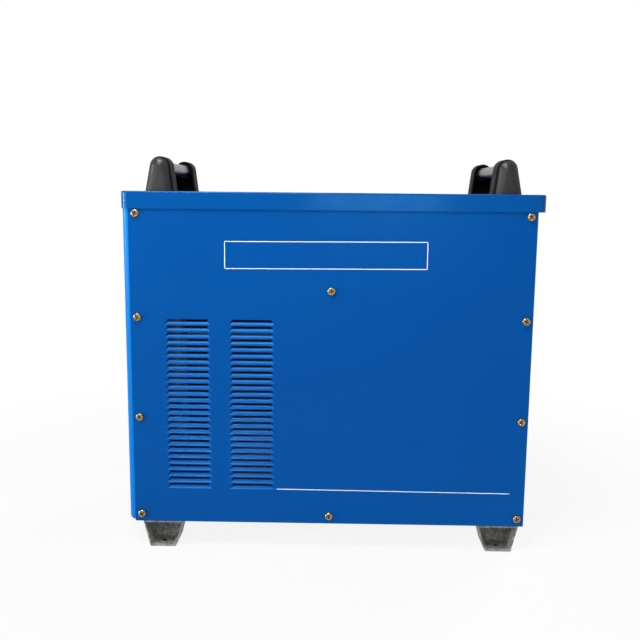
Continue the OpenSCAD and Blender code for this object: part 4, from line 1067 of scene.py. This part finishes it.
@dataclass
class Display:
    """Digits of the current display, which glow a little on the front of its window."""

    digits: int = 3
    pitch: float = 17.0
    width: float = 9.0
    height: float = 17.0
    stroke: float = 1.9
    gap: float = 0.4
    slant: float = 0.1
    film: float = 0.1
    tip: float = 0.49

    def strokes(self) -> list[tuple[Pair, Pair]]:
        """Lists the seven strokes of a digit, from the digit's middle.

        Returns:
            Start and end of each stroke.
        """
        w, h = self.width / 2, self.height / 2
        cut = self.stroke / 2 + self.gap
        level = [((-w + cut, v), (w - cut, v)) for v in (-h, 0.0, h)]
        upright = [((u, v + cut), (u, v + h - cut)) for u in (-w, w) for v in (-h, 0.0)]
        return level + upright

    def build(self) -> None:
        """Builds the digits on the window's front."""
        low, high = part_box("display_window")
        face = Face.forward(low.x, (low + high) / 2)
        bars = []
        for i in range(self.digits):
            shift = (i - (self.digits - 1) / 2) * self.pitch
            for a, b in self.strokes():
                ends = [(shift + u + v * self.slant, v) for u, v in (a, b)]
                bars.append(face.bar(*ends, self.stroke, self.film, self.tip, steps=1))
        Bench.done(Bench.join("display_digits", bars), SEGMENT)


@dataclass
class DialScale:
    """Marks round the current knob, and the knob's pointer, by distances from the knob's axis."""

    marks: int = 11
    sweep: float = 300.0
    inner: float = 22.0
    length: float = 3.4
    line: float = 0.8
    pointer: Pair = (5.0, 13.0)
    film: float = 0.12

    def ray(self, face: Face, angle: float, inner: float, outer: float, line: float) -> Object:
        """Lays one radial mark.

        Args:
            face: The face under it.
            angle: Angle from straight up.
            inner: Distance of its start from the knob's axis.
            outer: Distance of its end.
            line: Its width.

        Returns:
            The mark.
        """
        aim = (math.sin(math.radians(angle)), math.cos(math.radians(angle)))
        return face.bar(tuple(inner * c for c in aim), tuple(outer * c for c in aim), line, self.film)

    def build(self) -> None:
        """Builds the scale on the fascia and the pointer on the knob."""
        low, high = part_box("current_knob")
        middle = (low + high) / 2
        fascia = Face.forward(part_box("control_fascia")[0].x, middle)
        angles = [self.sweep * (i / (self.marks - 1) - 0.5) for i in range(self.marks)]
        scale = [self.ray(fascia, a, self.inner, self.inner + self.length, self.line) for a in angles]
        Bench.done(Bench.join("dial_marks", scale), WHITE_INK)
        mark = self.ray(Face.forward(low.x, middle), 0.0, *self.pointer, 2 * self.line)
        Bench.done(Bench.join("knob_pointer", [mark]), WHITE_INK, Body.KNOB)


@dataclass
class SwitchMarks:
    """On and off marks above and below a rocker switch, a margin away from its body."""

    node: str
    margin: float = 4.5
    size: float = 3.4
    line: float = 0.7
    film: float = 0.12
    ring_steps: tuple[int, int] = (28, 8)

    def build(self) -> None:
        """Builds the stroke for on and the ring for off."""
        low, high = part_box(self.node)
        fascia = Face.forward(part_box("control_fascia")[0].x, (low + high) / 2)
        reach = (high.z - low.z) / 2 / MM + self.margin
        half = self.size / 2
        stroke = fascia.bar((0, reach - half), (0, reach + half), self.line, self.film)
        round_ring, round_wire = self.ring_steps
        bpy.ops.mesh.primitive_torus_add(
            major_radius=half * MM, minor_radius=self.line / 2 * MM,
            major_segments=round_ring, minor_segments=round_wire)
        ring = bpy.context.object
        ring.scale.z = self.film / self.line
        Bench.settle(ring)
        ring.data.transform(fascia.frame(0, -reach))
        Bench.done(Bench.join(self.node + "_marks", [stroke, ring]), WHITE_INK)


@dataclass(frozen=True)
class Coat:
    """The finish and the softened edges of a CAD node that keeps its shape."""

    node: str
    finish: Finish
    edge: float = 0.3
    body: Body = Body.CABINET

    def build(self) -> None:
        """Dresses the node."""
        Bench.dress(self.node, self.finish, self.edge, self.body)


class Buildable(Protocol):
    """Anything that builds its own pieces."""

    def build(self) -> None:
        """Builds the pieces."""


class Assembly:
    """Things that are built one after another."""

    things: ClassVar[tuple[Buildable, ...]] = ()

    def build(self) -> None:
        """Builds each of them."""
        for thing in self.things:
            thing.build()


class FrontControls(Assembly):
    """Fascia with display, knob, rockers, lamps and the connections below it."""

    things = (
        Coat("control_fascia", GREY_PLASTIC, 0.8),
        Coat("display_window", WINDOW),
        Coat("current_knob", GLOSS_BLACK, 0.3, Body.KNOB),
        Coat("mode_switch_body", DARK_PLASTIC, 0.4),
        Coat("mode_rocker", GLOSS_BLACK, 0.4, Body.MODE),
        Coat("gas_switch_body", DARK_PLASTIC, 0.4),
        Coat("gas_rocker", GLOSS_BLACK, 0.4, Body.GAS),
        Coat("indicator_lamps", LAMP_LENS, 0.0),
        Coat("torch_coupling", BRASS, 0.4),
        Coat("pilot_terminal", MAROON, 0.4),
        Coat("control_socket", ZINC),
        Coat("output_socket", GLOSS_BLACK, 0.6),
        Display(),
        DialScale(),
        SwitchMarks("mode_switch_body"),
        SwitchMarks("gas_switch_body"),
    )


class RearSide(Assembly):
    """Fan with its guard, breaker, gland, inlet and earth stud."""

    things = (
        Coat("fan_frame", DARK_PLASTIC, 0.4),
        Coat("fan_rotor", GREY_PLASTIC, 0.0, Body.FAN),
        Coat("fan_guard", ZINC, 0.0),
        Coat("breaker_body", LIGHT_PLASTIC, 0.5),
        Coat("breaker_lever", GLOSS_BLACK, 0.4, Body.BREAKER),
        Coat("cable_gland", DARK_PLASTIC, 0.5),
        Coat("gas_inlet", BRASS),
        Coat("earth_stud", YELLOW_ZINC),
    )


class Inside:
    """Inner parts, which keep their own solids and get their finishes; the mid shelf and the tunnel
    boards are dark as painted shade behind the louvres.
    """

    finishes: ClassVar[dict[Finish, tuple[str, ...]]] = {
        ZINC: ("top_rails", "panel_screws"),
        # Black on the shelf is painted shade for the view through the louvres.
        BLACK_ENAMEL_AND_SHADE: ("mid_shelf",),
        YELLOW_ZINC: ("handle_bolts",),
        POT_BLUE: ("current_potentiometer",),
        INSULATOR_SHADE: ("tunnel_boards",),
        ALUMINIUM: ("heatsink_lower", "heatsink_upper"),
        DARK_PLASTIC: ("igbt_modules", "rectifier_modules", "capacitor_bank", "arc_starter"),
        BOARD: ("power_board", "control_board"),
        CORE: ("transformer_core", "control_transformer", "foot_bolts"),
        COPPER: ("transformer_winding", "output_choke"),
        BRASS: ("gas_valve",),
        HOSE: ("gas_hose",),
    }

    def build(self) -> None:
        """Gives every inner node its material."""
        for finish, nodes in self.finishes.items():
            for node in nodes:
                mesh = frame["nodes"][node].data
                mesh.materials.clear()
                mesh.materials.append(material_of(finish))
                log.info("node %s gets %s", node, finish.name)


# -------- studio


@dataclass(frozen=True)
class SoftBox:
    """A rectangular studio light that looks at a point, in metres and watts."""

    name: str
    place: Triple
    target: Triple
    size: Pair
    power: float
    mirrored: bool = True

    def build(self) -> None:
        """Hangs the light, which shows in reflections only where it is mirrored."""
        data = bpy.data.lights.new(self.name, "AREA")
        data.shape, data.size, data.size_y = "RECTANGLE", *self.size
        data.energy = self.power
        light = add_object(self.name, data)
        light.visible_camera, light.visible_glossy = False, self.mirrored
        light.location = self.place
        aim = Vector(self.target) - Vector(self.place)
        light.rotation_euler = aim.to_track_quat("-Z", "Y").to_euler()


@dataclass
class Studio:
    """Pale floor, white surroundings and soft lights, in metres.

    The floor's share of white goes from near_white to far_white, each a distance and the share there.
    """

    floor_half: float = 12.0
    floor_colour: Triple = (0.7, 0.7, 0.7)
    near_white: Pair = (0.45, 0.88)
    far_white: Pair = (1.1, 1.0)
    ambient: float = 0.08

    def lights(self) -> list[SoftBox]:
        """Lists the soft boxes.

        Returns:
            The lights.
        """
        middle = (0.0, 0.0, 0.3)
        return [
            SoftBox("overhead", (-0.295, -0.69, 1.464), (-0.2, -0.146, 0.35), (0.57, 0.52), 17.0),
            SoftBox("brow", (-0.5, -1.96, 1.38), (-0.25, -0.15, 0.57), (0.36, 0.3), 12.0),
            SoftBox("wall", (-1.64, -1.64, 0.36), middle, (1.3, 0.5), 14.0),
            SoftBox("left", (-3.2, -1.15, 0.6), middle, (0.41, 0.66), 55.0),
            SoftBox("low_fill", (1.5, -1.7, 0.16), (0.0, 0.0, 0.1), (0.8, 0.3), 11.0, mirrored=False),
            SoftBox("back_fill", (2.1, 2.2, 1.2), middle, (1.4, 1.4), 100.0, mirrored=False),
            SoftBox("window", (0.23, -3.2, 0.513), (0.1, 0.0, 0.53), (0.66, 0.11), 2.0),
        ]

    @staticmethod
    def maths(tree: Tree, operation: str, *values: Socket | float) -> Socket:
        """Adds a Math node.

        Args:
            tree: The node tree.
            operation: What it works out.
            values: Its inputs, as sockets or numbers.

        Returns:
            The result.
        """
        node = tree.nodes.new("ShaderNodeMath")
        node.operation = operation
        for socket, value in zip(node.inputs, values):
            if isinstance(value, float):
                socket.default_value = value
            else:
                tree.links.new(value, socket)
        return node.outputs["Value"]

    def shell(self, tree: Tree, back: Socket, lit: Socket, share: Socket | float) -> Socket:
        """Mixes the white that the camera and reflections see with what light meets.

        Args:
            tree: The node tree.
            back: Shader of the white background.
            lit: Shader that all other rays meet.
            share: Share of the white background for the camera and reflections.

        Returns:
            The mixed shader.
        """
        path = tree.nodes.new("ShaderNodeLightPath")
        seen = path.outputs["Is Camera Ray"]
        for name in ("Is Glossy Ray", "Is Transmission Ray"):
            seen = self.maths(tree, "MAXIMUM", seen, path.outputs[name])
        mix = tree.nodes.new("ShaderNodeMixShader")
        tree.links.new(self.maths(tree, "MULTIPLY", seen, share), mix.inputs["Fac"])
        tree.links.new(lit, mix.inputs[1])
        tree.links.new(back, mix.inputs[2])
        return mix.outputs["Shader"]

    def whiteness(self, tree: Tree) -> Socket:
        """Makes the floor's share of white grow with the distance from the object.

        Args:
            tree: The floor's node tree.

        Returns:
            The share.
        """
        coords = tree.nodes.new("ShaderNodeTexCoord")
        length = tree.nodes.new("ShaderNodeVectorMath")
        length.operation = "LENGTH"
        tree.links.new(coords.outputs["Object"], length.inputs[0])
        (inner, low), (outer, high) = self.near_white, self.far_white
        return remap(tree, length.outputs["Value"], (inner, outer), (low, high))

    def floor(self) -> None:
        """Lays the floor, mostly white to the eye but still taking the shadow."""
        bpy.ops.mesh.primitive_plane_add(size=2 * self.floor_half)
        floor = bpy.context.object
        floor.name = "studio_floor"
        material = bpy.data.materials.new("studio_floor")
        material.use_nodes = True
        tree = material.node_tree
        tree.nodes.remove(tree.nodes["Principled BSDF"])
        white = tree.nodes.new("ShaderNodeEmission")
        card = tree.nodes.new("ShaderNodeBsdfDiffuse")
        card.inputs["Color"].default_value = (*self.floor_colour, 1.0)
        mixed = self.shell(tree, white.outputs["Emission"], card.outputs["BSDF"], self.whiteness(tree))
        tree.links.new(mixed, tree.nodes["Material Output"].inputs["Surface"])
        floor.data.materials.append(material)

    def surroundings(self) -> None:
        """Makes the world white to the eye and dimmer as a light."""
        world = bpy.data.worlds.new("studio")
        world.use_nodes = True
        bpy.context.scene.world = world
        tree = world.node_tree
        dim, white = tree.nodes["Background"], tree.nodes.new("ShaderNodeBackground")
        dim.inputs["Strength"].default_value = self.ambient
        for background in (dim, white):
            background.inputs["Color"].default_value = (*WHITE, 1.0)
        mixed = self.shell(tree, white.outputs["Background"], dim.outputs["Background"], 1.0)
        tree.links.new(mixed, tree.nodes["World Output"].inputs["Surface"])

    def build(self) -> None:
        """Builds the studio."""
        self.floor()
        self.surroundings()
        for light in self.lights():
            light.build()
        bpy.context.scene.view_settings.view_transform = "Standard"
        log.info("studio with %d lights", len(self.lights()))


@dataclass
class Camera:
    """Camera square on to the right-hand side panel, a little above it.

    Its turns are in radians, and its focal length and frame in pixels of one size.
    """

    place: Triple = (0.6, -1315.3, 536.5)
    yaw: float = 0.01473
    pitch: float = 0.15344
    roll: float = 0.01008
    focal_px: float = 807.7
    frame_px: float = 640.0
    sensor: float = 36.0

    def build(self) -> None:
        """Sets up the camera for a square frame."""
        data = bpy.data.cameras.new("camera")
        data.sensor_width = self.sensor
        data.lens = self.sensor * self.focal_px / self.frame_px
        camera = add_object("camera", data)
        yaw = Matrix.Rotation(self.yaw, 4, "Z")
        pitch = Matrix.Rotation(math.pi / 2 - self.pitch, 4, "X")
        roll = Matrix.Rotation(self.roll, 4, "Z")
        camera.matrix_world = Matrix.Translation(Vector(self.place) * MM) @ yaw @ pitch @ roll
        bpy.context.scene.camera = camera
        log.info("camera at %s mm", self.place)


def main() -> None:
    """Builds the camera, the studio and every sub-assembly in order."""
    logging.basicConfig(level=logging.INFO, format="%(message)s")
    for assembly in (Camera(), Studio(), Case(), Screws(), Handles(), Feet(), Markings(),
                     FrontControls(), RearSide(), Inside()):
        assembly.build()


if __name__ == "__main__":
    main()
